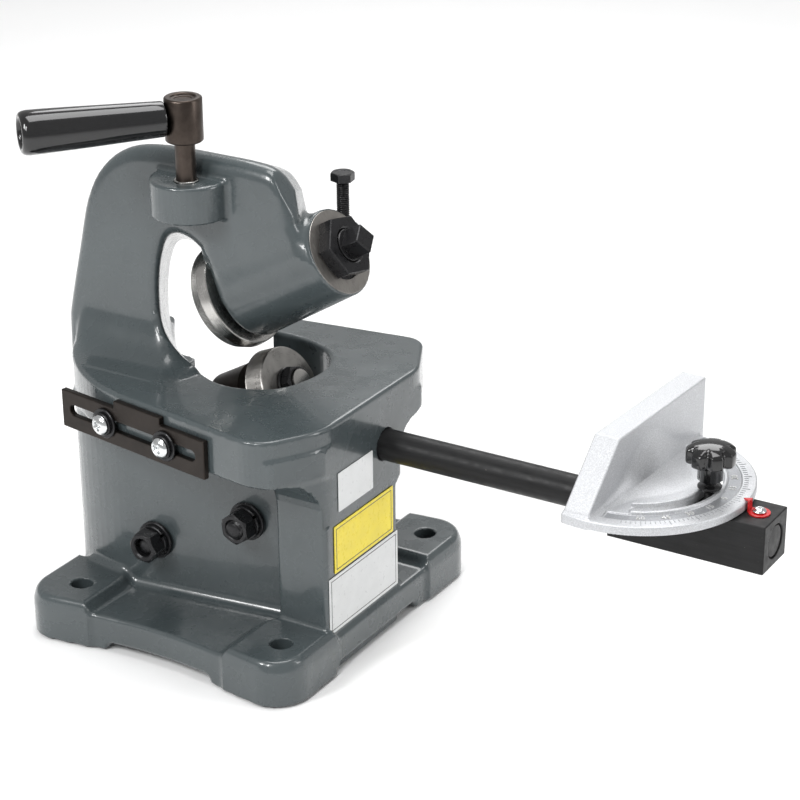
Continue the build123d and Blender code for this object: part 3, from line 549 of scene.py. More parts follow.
def round_angles(segments):
    """Equal angles round the axis."""
    return np.arange(segments) * (2.0 * math.pi / segments)


def polar(name, place, profile, segments=96, closed=False, sharp=32.0):
    """A turned shape from (radius, height) pairs, either of which may vary round the axis."""
    angles = round_angles(segments)
    verts, rows, faces = [], [], []
    for radius, height in profile:
        radius = np.broadcast_to(np.array(radius, float), segments)
        height = np.broadcast_to(np.array(height, float), segments)
        if radius.max() < 1e-6:
            rows.append([len(verts)])
            verts.append((0.0, 0.0, float(height[0])))
            continue
        rows.append(list(range(len(verts), len(verts) + segments)))
        verts += list(zip(radius * np.cos(angles), radius * np.sin(angles), height))
    pairs = list(zip(rows, rows[1:])) + ([(rows[-1], rows[0])] if closed else [])
    for low, high in pairs:
        for i in range(segments):
            j = (i + 1) % segments
            if len(low) == 1:
                faces.append((low[0], high[i], high[j]))
            elif len(high) == 1:
                faces.append((low[i], low[j], high[0]))
            else:
                faces.append((low[i], low[j], high[j], high[i]))
    return placed(name, place, verts, faces, sharp=sharp)


def reach(sides, flats, cap=1e3):
    """Radius of a regular prism by angle, with its corners cut back to a circle."""
    step = 2.0 * math.pi / sides
    offset = (round_angles(144) + step / 2.0) % step - step / 2.0
    return np.minimum(flats / 2.0 / np.cos(offset), cap)


def prism_faces(sides, flats, low, high, chamfer_low):
    """The (radius, height) pairs of a nut's outside, with a conical chamfer above and maybe below."""
    wide = reach(sides, flats)
    inner = flats / 2.0 * 0.965
    drop = (wide - inner) * 0.58
    rows = [(inner, low), (wide, low + drop)] if chamfer_low else [(wide, low)]
    return rows + [(wide, high - drop), (inner, high)]


def hex_nut(name, place, flats, low, high, hole):
    """A hexagon nut with a countersunk hole."""
    rows = prism_faces(6, flats, low, high, True)
    rows += [(hole + 0.9, high), (hole, high - 0.9), (hole, low + 0.5)]
    return polar(name, place, rows, 144, closed=True, sharp=22.0)


def ring(name, place, inner, outer, low, high, chamfer=0.3):
    """A washer or a bush with chamfered edges."""
    rows = [(inner, low + chamfer), (inner + chamfer, low), (outer - chamfer, low), (outer, low + chamfer),
            (outer, high - chamfer), (outer - chamfer, high), (inner + chamfer, high),
            (inner, high - chamfer)]
    return polar(name, place, rows, 96, closed=True, sharp=22.0)


def spring_ring(name, place, inner, outer, low, high):
    """A split spring washer: one turn of square wire with its ends slightly apart."""
    turns = np.linspace(math.radians(4.0), math.radians(352.0), 90)
    lift = 0.45
    verts = []
    corners = [(inner, low), (outer - 0.4, low), (outer, low + 0.4), (outer, high - 0.4),
               (outer - 0.4, high), (inner, high)]
    for angle in turns:
        rise = lift * (angle / math.pi - 1.0) * 0.5
        verts += [(r * math.cos(angle), r * math.sin(angle), w + rise) for r, w in corners]
    return placed(name, place, verts, strip_faces(len(turns), len(corners)), sharp=28.0)


def thread_rows(radius, pitch, low, high, segments, depth=0.6):
    """Rows of a helical thread with cone ends."""
    turns = round_angles(segments) / (2.0 * math.pi)
    rows = []
    for height in np.arange(low, high + 1e-6, pitch / 8.0):
        phase = (height / pitch + turns) % 1.0
        groove = np.clip(np.abs(phase - 0.5) * 2.0 * 1.25 - 0.12, 0.0, 1.0) * pitch * depth
        ends = np.clip(min(height - low, high - height) / 1.2, 0.0, 1.0)
        rows.append((radius - np.maximum(groove, (1.0 - ends) * 1.1), height))
    return rows


def solid(name, place, field, low, high, step):
    """An implicit solid given in local coordinates."""
    verts, quads, normals = surface_net(field, low, high, step)
    return placed(name, place, verts, quads, normals)


def joined(name, pieces):
    """Several meshes as one object."""
    shape = bmesh.new()
    for piece in pieces:
        shape.from_mesh(piece.data)
    mesh = pieces[0].data
    shape.to_mesh(mesh)
    shape.free()
    for piece in pieces[1:]:
        bpy.data.objects.remove(piece)
    pieces[0].name = name
    mesh.name = name
    return pieces[0]


def bevelled(piece, width, segments=2):
    """A small rounded bevel on the edges of a piece."""
    modifier = piece.modifiers.new("edges", "BEVEL")
    modifier.width = width * MM
    modifier.segments = segments
    modifier.limit_method = "ANGLE"
    modifier.angle_limit = math.radians(35.0)
    modifier.harden_normals = True
    return piece


def lettering(text, place, size, depth):
    """Raised characters centred on a place, as points and faces in its local frame."""
    curve = bpy.data.curves.new("characters", "FONT")
    curve.body = text
    curve.size = size
    curve.align_x = "CENTER"
    curve.align_y = "CENTER"
    curve.extrude = depth / 2.0
    curve.resolution_u = 3
    holder = bpy.data.objects.new("characters", curve)
    bpy.context.scene.collection.objects.link(holder)
    bpy.context.view_layer.update()
    mesh = bpy.data.meshes.new_from_object(holder.evaluated_get(bpy.context.evaluated_depsgraph_get()))
    verts = [tuple(v.co) for v in mesh.vertices]
    faces = [list(p.vertices) for p in mesh.polygons]
    bpy.data.objects.remove(holder)
    return placed("characters", place, verts, faces)


def bar(place, length, width, height):
    """A thin raised bar from the place along u."""
    half = width / 2.0
    verts = [(0, -half, 0), (length, -half, 0), (length, half, 0), (0, half, 0),
             (0.1, -half * 0.6, height), (length - 0.1, -half * 0.6, height),
             (length - 0.1, half * 0.6, height),
             (0.1, half * 0.6, height)]
    faces = [(0, 1, 2, 3), (4, 5, 6, 7), (0, 1, 5, 4), (1, 2, 6, 5), (2, 3, 7, 6), (3, 0, 4, 7)]
    return placed("bar", place, verts, faces)


# ================================================================ materials
class Surface:
    """A procedural material on one principled shader."""

    def __init__(self, name, metallic=0.0, coat=0.0, coat_roughness=0.05):
        self.material = bpy.data.materials.new(name)
        self.material.use_nodes = True
        self.tree = self.material.node_tree
        self.shader = self.tree.nodes["Principled BSDF"]
        self.shader.inputs["Metallic"].default_value = metallic
        self.shader.inputs["Coat Weight"].default_value = coat
        self.shader.inputs["Coat Roughness"].default_value = coat_roughness
        self.normal = None
        self.place = self.add("ShaderNodeTexCoord").outputs["Object"]

    def feed(self, sockets, values):
        """Links or sets sockets, in order."""
        for socket, value in zip(sockets, values):
            if isinstance(value, bpy.types.NodeSocket):
                self.tree.links.new(value, socket)
            else:
                socket.default_value = value

    def add(self, kind, **values):
        """A node with some of its inputs set or linked."""
        node = self.tree.nodes.new(kind)
        self.feed([node.inputs[key.replace("_", " ")] for key in values], values.values())
        return node

    def vector_math(self, operation, a, b=(0.0, 0.0, 0.0)):
        """A vector operation's node."""
        node = self.tree.nodes.new("ShaderNodeVectorMath")
        node.operation = operation
        self.feed(node.inputs, (a, b))
        return node

    def local(self):
        """The piece's own local coordinates."""
        node = self.add("ShaderNodeAttribute")
        node.attribute_name = "local"
        return node.outputs["Vector"]

    def lathe_place(self):
        """Coordinates that only change with the radius and the height, for turned and faced metal."""
        parts = self.add("ShaderNodeSeparateXYZ", Vector=self.local())
        flat = self.add("ShaderNodeCombineXYZ", X=parts.outputs["X"], Y=parts.outputs["Y"])
        length = self.vector_math("LENGTH", flat.outputs["Vector"])
        return self.add("ShaderNodeCombineXYZ", X=length.outputs["Value"],
                        Z=parts.outputs["Z"]).outputs["Vector"]

    def stretched(self, vector, factors):
        """Coordinates scaled by three factors, for brushed and drawn grain."""
        return self.vector_math("MULTIPLY", vector, factors).outputs["Vector"]

    def noise(self, scale, detail=2.0, rough=0.5, vector=None):
        """Cloud noise."""
        node = self.add("ShaderNodeTexNoise", Vector=vector or self.place, Scale=scale, Detail=detail,
                        Roughness=rough)
        return node.outputs["Fac"]

    def cells(self, scale):
        """Distance to the nearest of scattered points."""
        node = self.add("ShaderNodeTexVoronoi", Vector=self.place, Scale=scale)
        return node.outputs["Distance"]

    def remap(self, value, low, high, new_low, new_high):
        """A value moved from one range to another and held inside it."""
        node = self.add("ShaderNodeMapRange", Value=value, From_Min=low, From_Max=high, To_Min=new_low,
                        To_Max=new_high)
        return node.outputs["Result"]

    def full(self, value):
        """The middle of a noise's range, stretched over zero to one."""
        return self.remap(value, 0.3, 0.7, 0.0, 1.0)

    def math(self, operation, a, b):
        """A sum, product or the like of two values."""
        node = self.tree.nodes.new("ShaderNodeMath")
        node.operation = operation
        self.feed(node.inputs, (a, b))
        return node.outputs[0]

    def blend(self, factor, a, b):
        """A colour between two, each a colour or a socket."""
        node = self.tree.nodes.new("ShaderNodeMix")
        node.data_type = "RGBA"
        ends = [end if isinstance(end, bpy.types.NodeSocket) else (*end, 1.0) for end in (a, b)]
        self.feed((node.inputs[0], node.inputs[6], node.inputs[7]), (factor, *ends))
        return node.outputs[2]

    def bump(self, height, distance, strength=1.0):
        """Relief of a given depth in metres, on top of any before it."""
        node = self.add("ShaderNodeBump", Height=height, Distance=distance, Strength=strength)
        if self.normal is not None:
            self.tree.links.new(self.normal, node.inputs["Normal"])
        self.normal = node.outputs["Normal"]

    def edges(self, radius, low=0.02, high=0.22):
        """One on sharp edges and zero elsewhere."""
        soft = self.add("ShaderNodeBevel", Radius=radius)
        soft.samples = 6
        plain = self.add("ShaderNodeNewGeometry")
        dot = self.vector_math("DOT_PRODUCT", soft.outputs["Normal"], plain.outputs["Normal"])
        return self.remap(self.math("SUBTRACT", 1.0, dot.outputs["Value"]), low, high, 0.0, 1.0)

    def done(self, colour, roughness, metallic=None):
        """Links the colour, the roughness and the relief."""
        names = ("Base Color", "Roughness", "Metallic", "Normal")
        for name, value in zip(names, (colour, roughness, metallic, self.normal)):
            if value is not None:
                self.tree.links.new(value, self.shader.inputs[name])
        return self.material


def shade(colour, factor):
    """A colour made lighter or darker."""
    return tuple(min(1.0, c * factor) for c in colour)


def enamel_paint():
    """Glossy grey enamel over a filled casting: orange peel, slow waves, a few nibs and dirt in its pores."""
    s = Surface("enamel", coat=0.55, coat_roughness=0.06)
    tone = s.full(s.noise(14.0, 3.0, 0.6))
    colour = s.blend(tone, shade(ENAMEL, 0.9), shade(ENAMEL, 1.1))
    nibs = s.remap(s.cells(170.0), 0.0, 0.11, 1.0, 0.0)
    rare = s.remap(s.noise(33.0, 2.0), 0.56, 0.66, 0.0, 1.0)
    nibs = s.math("MULTIPLY", nibs, rare)
    dirt = s.remap(s.noise(900.0, 4.0, 0.7), 0.66, 0.74, 0.0, 0.55)
    dirt = s.math("MULTIPLY", dirt, s.remap(s.noise(24.0, 2.0), 0.5, 0.64, 0.0, 1.0))
    colour = s.blend(dirt, colour, shade(ENAMEL, 0.35))
    s.bump(s.noise(46.0, 2.0, 0.45), 0.0011, 0.5)
    s.bump(s.noise(210.0, 2.0, 0.5), 0.00010, 0.6)
    s.bump(s.noise(760.0, 2.0, 0.6), 0.000022, 0.6)
    s.bump(nibs, 0.00035, 0.7)
    return s.done(colour, s.remap(s.noise(70.0, 3.0, 0.6), 0.25, 0.75, 0.2, 0.36))


def black_oxide():
    """Blackened steel, rubbed bright along its edges."""
    s = Surface("black_steel", metallic=0.55)
    fine = s.noise(1500.0, 3.0, 0.6)
    dark = s.blend(fine, (0.010, 0.010, 0.011), (0.028, 0.028, 0.030))
    patch = s.remap(s.noise(420.0, 3.0, 0.65), 0.42, 0.62, 0.0, 1.0)
    edge = s.math("MULTIPLY", s.math("MULTIPLY", s.edges(0.0007), patch), 0.55)
    colour = s.blend(edge, dark, (0.24, 0.235, 0.23))
    s.bump(fine, 0.00002, 0.5)
    s.bump(s.noise(260.0, 3.0, 0.5), 0.00006, 0.5)
    return s.done(colour, s.remap(s.noise(300.0, 3.0, 0.6), 0.3, 0.7, 0.22, 0.42),
                  s.remap(edge, 0.0, 1.0, 0.55, 1.0))


def turned_metal(name, base, rough, groove=1.0, tone=0.12):
    """Turned, faced or ground metal with concentric tool marks."""
    s = Surface(name, metallic=1.0)
    rings = s.noise(2600.0, 3.0, 0.7, s.lathe_place())
    wide = s.noise(420.0, 2.0, 0.5, s.lathe_place())
    smear = s.noise(90.0, 3.0, 0.6)
    colour = s.blend(s.full(smear), shade(base, 1.0 - tone), shade(base, 1.0 + tone))
    s.bump(rings, 0.00002 * groove, 0.7)
    s.bump(wide, 0.00003 * groove, 0.4)
    return s.done(colour, s.remap(s.math("ADD", rings, smear), 0.7, 1.3, rough * 0.8, rough * 1.3))


def ground_face():
    """A ground steel face with fine scratches across it."""
    s = Surface("ground_steel", metallic=1.0)
    lines = s.noise(240.0, 4.0, 0.65, s.stretched(s.local(), (14.0, 0.6, 1.0)))
    smear = s.noise(160.0, 3.0, 0.6)
    colour = s.blend(s.full(lines), (0.24, 0.225, 0.21), (0.42, 0.40, 0.375))
    colour = s.blend(s.remap(smear, 0.55, 0.75, 0.0, 0.5), colour, (0.2, 0.19, 0.18))
    s.bump(lines, 0.00003, 0.6)
    return s.done(colour, s.remap(lines, 0.3, 0.7, 0.28, 0.46))


def dark_metal(name, base, rough):
    """Heat-blackened steel with mill marks and a brown cast."""
    s = Surface(name, metallic=0.8)
    grain = s.noise(120.0, 4.0, 0.7, s.stretched(s.place, (1.0, 1.0, 9.0)))
    blot = s.noise(60.0, 4.0, 0.65)
    colour = s.blend(s.full(blot), shade(base, 0.7), shade(base, 1.3))
    edge = s.math("MULTIPLY", s.edges(0.0006), s.remap(s.noise(500.0, 3.0), 0.4, 0.65, 0.0, 0.7))
    colour = s.blend(edge, colour, shade(base, 5.0))
    s.bump(grain, 0.00004, 0.5)
    s.bump(s.noise(1400.0, 3.0, 0.6), 0.00002, 0.5)
    return s.done(colour, s.remap(s.math("ADD", grain, blot), 0.7, 1.3, rough * 0.8, rough * 1.25))


def gloss_plastic():
    """Polished black phenolic."""
    s = Surface("black_plastic", coat=0.3, coat_roughness=0.03)
    colour = s.blend(s.noise(300.0, 3.0), (0.005, 0.005, 0.005), (0.010, 0.010, 0.011))
    s.bump(s.noise(70.0, 2.0), 0.00025, 0.25)
    scratches = s.noise(300.0, 4.0, 0.7, s.stretched(s.place, (5.0, 1.0, 1.0)))
    return s.done(colour, s.remap(scratches, 0.3, 0.75, 0.07, 0.18))


def zinc_plate():
    """Bright zinc plating."""
    s = Surface("zinc", metallic=1.0)
    cloud = s.noise(450.0, 3.0, 0.6)
    colour = s.blend(cloud, (0.62, 0.64, 0.66), (0.86, 0.87, 0.86))
    s.bump(s.noise(900.0, 3.0), 0.00003, 0.5)
    return s.done(colour, s.remap(cloud, 0.3, 0.7, 0.12, 0.26))


def satin_black():
    """Satin black oxide on drawn bar, with chips that show bare steel."""
    s = Surface("satin_black", metallic=0.1)
    drawn = s.noise(60.0, 4.0, 0.7, s.stretched(s.place, (0.6, 9.0, 9.0)))
    s.shader.inputs["Specular IOR Level"].default_value = 0.28
    dark = s.blend(s.full(drawn), (0.006, 0.006, 0.0065), (0.013, 0.013, 0.0135))
    chip = s.remap(s.noise(330.0, 5.0, 0.7), 0.70, 0.74, 0.0, 1.0)
    edge = s.math("MULTIPLY", s.edges(0.0007, 0.03, 0.2), s.remap(s.noise(480.0, 3.0), 0.5, 0.62, 0.0, 0.8))
    mark = s.math("MAXIMUM", s.math("MULTIPLY", chip, 0.7), edge)
    colour = s.blend(mark, dark, (0.22, 0.20, 0.17))
    s.bump(drawn, 0.00004, 0.5)
    s.bump(s.noise(1100.0, 3.0), 0.00002, 0.6)
    return s.done(colour, s.remap(s.noise(200.0, 3.0), 0.3, 0.7, 0.36, 0.52),
                  s.remap(mark, 0.0, 1.0, 0.1, 0.9))


def cast_aluminium(name, base, rough, grain):
    """Bead-blasted or machined cast aluminium."""
    s = Surface(name, metallic=0.55)
    fine = s.noise(1300.0, 3.0, 0.7)
    sparkle = s.remap(s.cells(1500.0), 0.0, 0.7, 0.0, 1.0)
    colour = s.blend(s.math("MULTIPLY", fine, sparkle), shade(base, 0.6), shade(base, 1.25))
    cloud = s.remap(s.noise(40.0, 3.0), 0.3, 0.7, 0.0, 0.35)
    colour = s.blend(cloud, colour, shade(base, 0.8))
    s.bump(fine, 0.00012 * grain, 0.7)
    s.bump(s.noise(420.0, 3.0), 0.00008 * grain, 0.5)
    return s.done(colour, s.remap(fine, 0.3, 0.7, rough * 0.85, rough * 1.2))


def lacquer(name, base, spread=0.1, rough=0.3):
    """A printed or lacquered sheet with faint ripples."""
    s = Surface(name, coat=0.2, coat_roughness=0.12)
    colour = s.blend(s.full(s.noise(120.0, 3.0)), shade(base, 1.0 - spread), shade(base, 1.0 + spread * 0.4))
    dust = s.remap(s.noise(1100.0, 4.0, 0.7), 0.68, 0.76, 0.0, 0.5)
    colour = s.blend(dust, colour, shade(base, 0.55))
    s.bump(s.noise(160.0, 3.0), 0.00008, 0.5)
    return s.done(colour, s.remap(s.noise(350.0, 3.0), 0.3, 0.7, rough * 0.8, rough * 1.25))


ENAMEL = (0.054, 0.0672, 0.0710)
LOOK = {
    "enamel": enamel_paint(),
    "black_steel": black_oxide(),
    "dark_steel": dark_metal("dark_steel", (0.026, 0.021, 0.018), 0.36),
    "brown_turned": turned_metal("brown_turned", (0.072, 0.058, 0.050), 0.32, 1.2, 0.25),
    "bright_turned": turned_metal("bright_turned", (0.50, 0.49, 0.47), 0.24),
    "roll_steel": turned_metal("roll_steel", (0.33, 0.32, 0.305), 0.30, 1.4, 0.2),
    "ground_steel": ground_face(),
    "bronze": turned_metal("bronze", (0.52, 0.30, 0.12), 0.3, 1.0, 0.18),
    "black_plastic": gloss_plastic(),
    "zinc": zinc_plate(),
    "satin_black": satin_black(),
    "cast_aluminium": cast_aluminium("cast_aluminium", (0.66, 0.67, 0.69), 0.46, 1.0),
    "machined_aluminium": cast_aluminium("machined_aluminium", (0.80, 0.80, 0.79), 0.34, 0.35),
    "band_aluminium": cast_aluminium("band_aluminium", (0.40, 0.41, 0.43), 0.42, 1.2),
    "red_paint": lacquer("red_paint", (0.55, 0.012, 0.014)),
    "plate_white": lacquer("plate_white", (0.72, 0.73, 0.73), 0.05, 0.32),
    "plate_yellow": lacquer("plate_yellow", (0.90, 0.72, 0.004), 0.05, 0.3),
    "plate_ink": lacquer("plate_ink", (0.012, 0.012, 0.012), 0.2, 0.35),
}


def show(piece, body, slot, look=None, replaces=()):
    """Gives a piece its material, named by the look or else by the slot, puts it on its body and hides the
    CAD nodes it stands for.
    """
    piece.data.materials.clear()
    piece.data.materials.append(LOOK[look or slot])
    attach(piece, body)
    if replaces:
        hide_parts(*replaces)
    return piece


def keep(node, look):
    """A CAD node whose own shape is right, in a better material."""
    piece = frame["nodes"][node]
    piece.data.materials.clear()
    piece.data.materials.append(LOOK[look])
    return piece


# ================================================================ casting, ring face and blades
def build_casting():
    """The painted casting and the ground face round the sleeve."""
    show(make_casting(), "root", "enamel", replaces=["frame_casting"])
    face = ring("ring_face", barrel_place(RING), SLEEVE_R + 0.4, RING_R - 1.1, -1.0, 0.25, 0.2)
    show(face, "root", "bright_steel", "ground_steel")


def build_drive():
    """The eccentric sleeve with its hexagon, the bushes and the drive shaft."""
    place = barrel_place(SHAFT).turned(19.0)
    wide = reach(6, 34.6)
    rows = [(12.6, 0.35), (wide, 0.35), (wide, 8.9), (wide - 0.5, 9.5), (11.6, 9.5), (10.4, 8.6),
            (10.4, 6.0), (12.6, 5.8)]
    hexagon = polar("sleeve_hex", place, rows, 144, closed=True, sharp=22.0)
    show(hexagon, "sleeve", "black_steel")
    tube = ring("sleeve_tube", barrel_place(RING), 14.1, SLEEVE_R, -BARREL_LENGTH, 0.3, 0.4)
    show(tube, "sleeve", "black_steel", replaces=["eccentric_sleeve"])
    for name, low, high in (("outer_bush", -14.7, 5.6), ("inner_bush", -77.5, -57.5)):
        bush = ring(name, barrel_place(SHAFT), 10.05, 12.5, low, high, 0.35)
        show(bush, "sleeve", "bronze", replaces=["sleeve_bushes"])
    place = barrel_place(SHAFT).turned(37.0)
    rows = [(0.0, -79.9), (13.4, -79.9), (13.4, -77.9), (10.0, -77.9), (10.0, 9.2), (9.6, 9.6)]
    square = reach(4, 13.0, 8.9)
    rows += [(square, 9.6), (square, 21.5), (square - 0.6, 22.0), (0.0, 22.0)]
    show(polar("shaft_end", place, rows, 144, sharp=22.0), "upper_shaft", "black_steel",
         replaces=["drive_shaft"])
    core = polar("shaft_nose", place, [(3.2, -91.0), (8.6, -91.0), (9.0, -90.6), (9.0, -79.9), (3.2, -79.9)],
                 96,
                 closed=True, sharp=22.0)
    show(core, "upper_shaft", "bright_steel", "bright_turned")


def knurl(segments, teeth, depth):
    """A radius change that repeats round the rim like fine serrations."""
    angles = round_angles(segments)
    return -depth * np.abs(np.sin(angles * teeth / 2.0))


def build_blades():
    """The two rotary cutters and what holds them."""
    segments = 960
    teeth = knurl(segments, 240, 0.28)
    place = barrel_place(SHAFT)
    rim = [(9.1, -91.4), (9.1, -80.4), (9.5, -80.0), (33.9, -80.0), (34.6, -80.4), (35.25, -84.7),
           (35.45, -86.6)]
    rim += [(35.5 + teeth * 0.2, -87.0), (35.35 + teeth, -87.4), (33.3 + teeth, -94.0),
            (33.0 + teeth * 0.2, -94.3)]
    rim += [(32.6, -94.5), (14.4, -94.5), (14.0, -94.1), (14.0, -91.4)]
    show(polar("upper_cutter", place, rim, segments, closed=True, sharp=22.0), "upper_shaft", "bright_steel",
         "bright_turned", replaces=["upper_blade"])
    washer = ring("cutter_washer", place, 3.1, 13.7, -94.5, -91.5, 0.4)
    show(washer, "upper_shaft", "dark_steel", "brown_turned", replaces=["blade_washer"])
    socket = reach(6, 5.0)
    rows = [(3.0, -80.0), (3.0, -94.5), (6.2, -94.5), (6.5, -94.8), (6.5, -98.9), (5.9, -99.5),
            (socket + 0.3, -99.5)]
    rows += [(socket, -99.2), (socket, -96.6), (0.0, -96.2)]
    show(polar("cutter_screw", place, [(0.0, -80.0)] + rows, 144, sharp=22.0), "upper_shaft", "black_steel",
         replaces=["blade_screw"])
    keep("blade_key", "bright_turned")
    place = barrel_place(ROLL)
    fine = knurl(segments, 200, 0.10)
    rows = [(10.6, -12.6), (11.0, -13.0), (26.7, -13.0), (27.3, -12.5), (27.2 + fine, -12.2),
            (25.9 + fine, -0.9)]
    rows += [(25.7, -0.6), (25.1, 0.0), (11.0, 0.0), (10.6, -0.4)]
    show(polar("lower_cutter", place, rows, segments, closed=True, sharp=22.0), "lower_roll", "bright_steel",
         "roll_steel", replaces=["lower_blade"])
    show(ring("roll_bush", place, 8.05, 10.55, -13.0, 0.1, 0.3), "lower_roll", "bronze",
         replaces=["lower_bush"])
    keep("lower_axle", "bright_turned")
    bevelled(keep("lower_blade_carrier", "dark_steel"), 0.8)
    show(ring("roll_washer", place, 8.1, 12.0, 0.3, 2.0), "root", "black_steel", replaces=["axle_washer"])
    show(hex_nut("roll_nut", place.turned(10.0), 20.0, 2.0, 9.0, 8.0), "root", "black_steel",
         replaces=["axle_nut"])


# ================================================================ fasteners on the wall
def build_studs():
    """Studs, nuts, flat and spring washers of the blade carrier."""
    names = (("left", 25.0, -3.0), ("right", 5.0, 2.0))
    for (side, turn, proud), (x, y, z) in zip(names, STUD_SEATS):
        place = Place((x, y, z), -NORTH, EAST)
        show(ring(side + "_washer", place, 6.3, 12.4, 0.0, 2.5, 0.4), "root", "black_steel",
             replaces=["stud_washers"])
        show(spring_ring(side + "_spring", place.turned(40.0), 6.3, 10.9, 2.6, 5.4), "root", "black_steel",
             replaces=["stud_spring_washers"])
        show(hex_nut(side + "_nut", place.turned(turn), 18.0, 5.5, 15.5, 6.0), "root", "black_steel",
             replaces=["stud_nuts"])
        end = 15.5 + proud
        rows = [(0.0, -20.0), (5.9, -20.0)] + thread_rows(5.95, 1.75, 0.0, end - 1.0, 48)
        rows += [(4.9, end - 0.8), (3.9, end - 0.15), (2.2, end + 0.15), (0.0, end + 0.25)]
        show(polar(side + "_stud", place, rows, 48, sharp=40.0), "root", "black_steel",
             replaces=["carrier_studs"])


def build_clamp():
    """The clamp bolt with its thread and hexagon head."""
    place = Place((*joint_point("clamp_bolt_turn")[:2], 260.0), UP, EAST).turned(12.0)
    shank = [(0.0, -24.0)] + thread_rows(3.98, 1.25, -24.0, 25.3, 48)
    show(polar("clamp_thread", place, shank + [(0.0, 25.4)], 48, sharp=40.0), "clamp", "black_steel",
         replaces=["clamp_bolt"])
    rows = [(0.0, 25.5), (6.1, 25.5)] + prism_faces(6, 13.0, 25.7, 31.0, False) + [(4.6, 31.0), (4.3, 30.8),
                                                                                   (0.0, 30.8)]
    show(polar("clamp_head", place, rows, 144, sharp=22.0), "clamp", "black_steel")


# ================================================================ handle
def build_handle():
    """The spindle, the knuckle and the grip on its bolt."""
    place = Place(SPINDLE, UP, EAST)
    rows = [(0.0, -21.5), (5.6, -21.5), (6.2, -20.9), (6.2, 26.0)]
    show(polar("spindle", place, [*rows, (6.2, 46.0), (0.0, 46.0)], 96), "handle", "dark_steel",
         "brown_turned",
         replaces=["handle_spindle"])
    foot = ring("spindle_foot", place.moved(w=1.5), 6.25, 7.4, -0.2, 1.1, 0.3)
    show(foot, "root", "dark_steel", "bright_turned")
    rows = [(6.25, 26.9), (6.7, 26.5), (10.7, 26.5), (11.5, 27.3), (11.5, 52.3), (11.2, 53.0), (10.5, 53.5),
            (8.2, 53.5),
            (7.6, 53.1), (7.4, 52.4), (5.6, 52.2), (5.2, 51.7), (0.0, 51.5)]
    show(polar("knuckle", place, [(0.0, 27.5), (6.25, 27.5)] + rows, 128), "handle", "dark_steel",
         "brown_turned",
         replaces=["handle_knuckle"])
    place = Place(GRIP, GRIP_AXIS, UP)
    rows = [(4.2, 11.9), (9.7, 11.9), (10.4, 12.3), (10.7, 13.2), (10.9, 20.0), (11.3, 32.0), (11.9, 48.0),
            (12.5, 64.0),
            (12.95, 78.0), (13.2, 88.0), (13.25, 93.0), (12.9, 95.2), (12.2, 96.6), (11.2, 97.4),
            (10.0, 97.6),
            (8.9, 97.3), (8.2, 96.6), (7.9, 95.4), (7.6, 88.2), (7.0, 87.4), (4.2, 87.2)]
    grip = polar("grip", place, rows, 128, closed=True, sharp=40.0)
    show(grip, "grip", "black_plastic", replaces=["handle_grip"])
    socket = reach(6, 5.0)
    rows = [(0.0, 7.4), (3.95, 7.4), (3.95, 87.5), (5.7, 87.5), (6.0, 87.8), (6.0, 92.0), (5.5, 92.5),
            (socket + 0.3, 92.5),
            (socket, 92.2), (socket, 89.8), (0.0, 89.4)]
    show(polar("grip_screw", place, rows, 144, sharp=22.0), "handle", "black_steel", "brown_turned",
         replaces=["grip_bolt"])


# ================================================================ edge bracket
def phillips_field(head_r, height):
    """A domed screw head with a cross recess, its underside at zero."""
    def field(u, v, w):
        r = hyp(u, v)
        dome = (np.sqrt((r / head_r) ** 2 + (np.maximum(w, 0.0) / height) ** 2) - 1.0) * min(head_r, height)
        body = intersect_round(dome, slab(w, 0.0, height * 2.0), 0.5)
        depth = w - height * 0.3
        scale = head_r / 6.3
        arm = (1.5 + depth * 0.8) * scale
        width = (0.62 + depth * 0.14) * scale
        first = np.maximum(np.abs(u) - arm, np.abs(v) - width)
        second = np.maximum(np.abs(v) - arm, np.abs(u) - width)
        core = r - (1.1 + depth * 0.3) * scale
        recess = np.maximum(np.minimum(np.minimum(first, second), core), -depth)
        return cut_round(body, recess * 0.85, 0.18)
    return field


def bracket_field(u, v, w):
    """The slotted plate and its raised tab."""
    body = box2(u, v, -77.0, 47.0, 132.5, 157.5, 0.8)
    body = union_round(body, box2(u, v, -30.0, 10.0, 140.0, 162.5, 0.8), 0.3)
    slot = np.sqrt(np.maximum(slab(u, -66.5, 36.0), 0.0) ** 2 + (v - 145.5) ** 2) - 3.5
    body = cut_round(body, slot, 0.01)
    return intersect_round(body, slab(w, 0.3, 4.3), 0.55)


def build_bracket():
    """The slotted bracket, its washers and its two cross-head screws."""
    place = side_place(0.0, 0.0)
    step = 0.6
    show(solid("bracket", place, bracket_field, (-79.0, 130.0, -1.2), (49.0, 165.0, 5.8), step), "bracket",
         "dark_steel",
         replaces=["edge_bracket"])
    for name, s, turn in (("rear", -38.0, 24.0), ("front", 14.0, 52.0)):
        place = side_place(s, 145.5, 4.3)
        show(ring(name + "_plate_washer", place, 4.2, 9.5, 0.1, 1.7, 0.35), "root", "zinc", "black_steel",
             replaces=["bracket_washers"])
        show(spring_ring(name + "_lock_washer", place.turned(200.0), 4.2, 7.4, 1.85, 3.75), "root", "zinc",
             "black_steel")
        head = solid(name + "_screw_head", place.moved(w=3.9).turned(turn), phillips_field(6.5, 3.7),
                     (-7.0, -7.0, -0.6),
                     (7.0, 7.0, 5.0), 0.25)
        show(head, "root", "zinc")
        shank = polar(name + "_screw_shank", place, [(0.0, -20.0), (4.0, -20.0), (4.0, 4.2), (0.0, 4.2)], 48)
        show(shank, "root", "zinc", replaces=["bracket_screws"])


# ================================================================ guide rod, block and protractor head
HEAD_TURN = -2.6
HEAD_LOW = 144.1
HEAD_R = 68.5
FENCE_U = (-11.5, 4.5)
FENCE_TOP = 40.9
SLOT_R = 45.0
BAND_R = (51.8, 59.8)


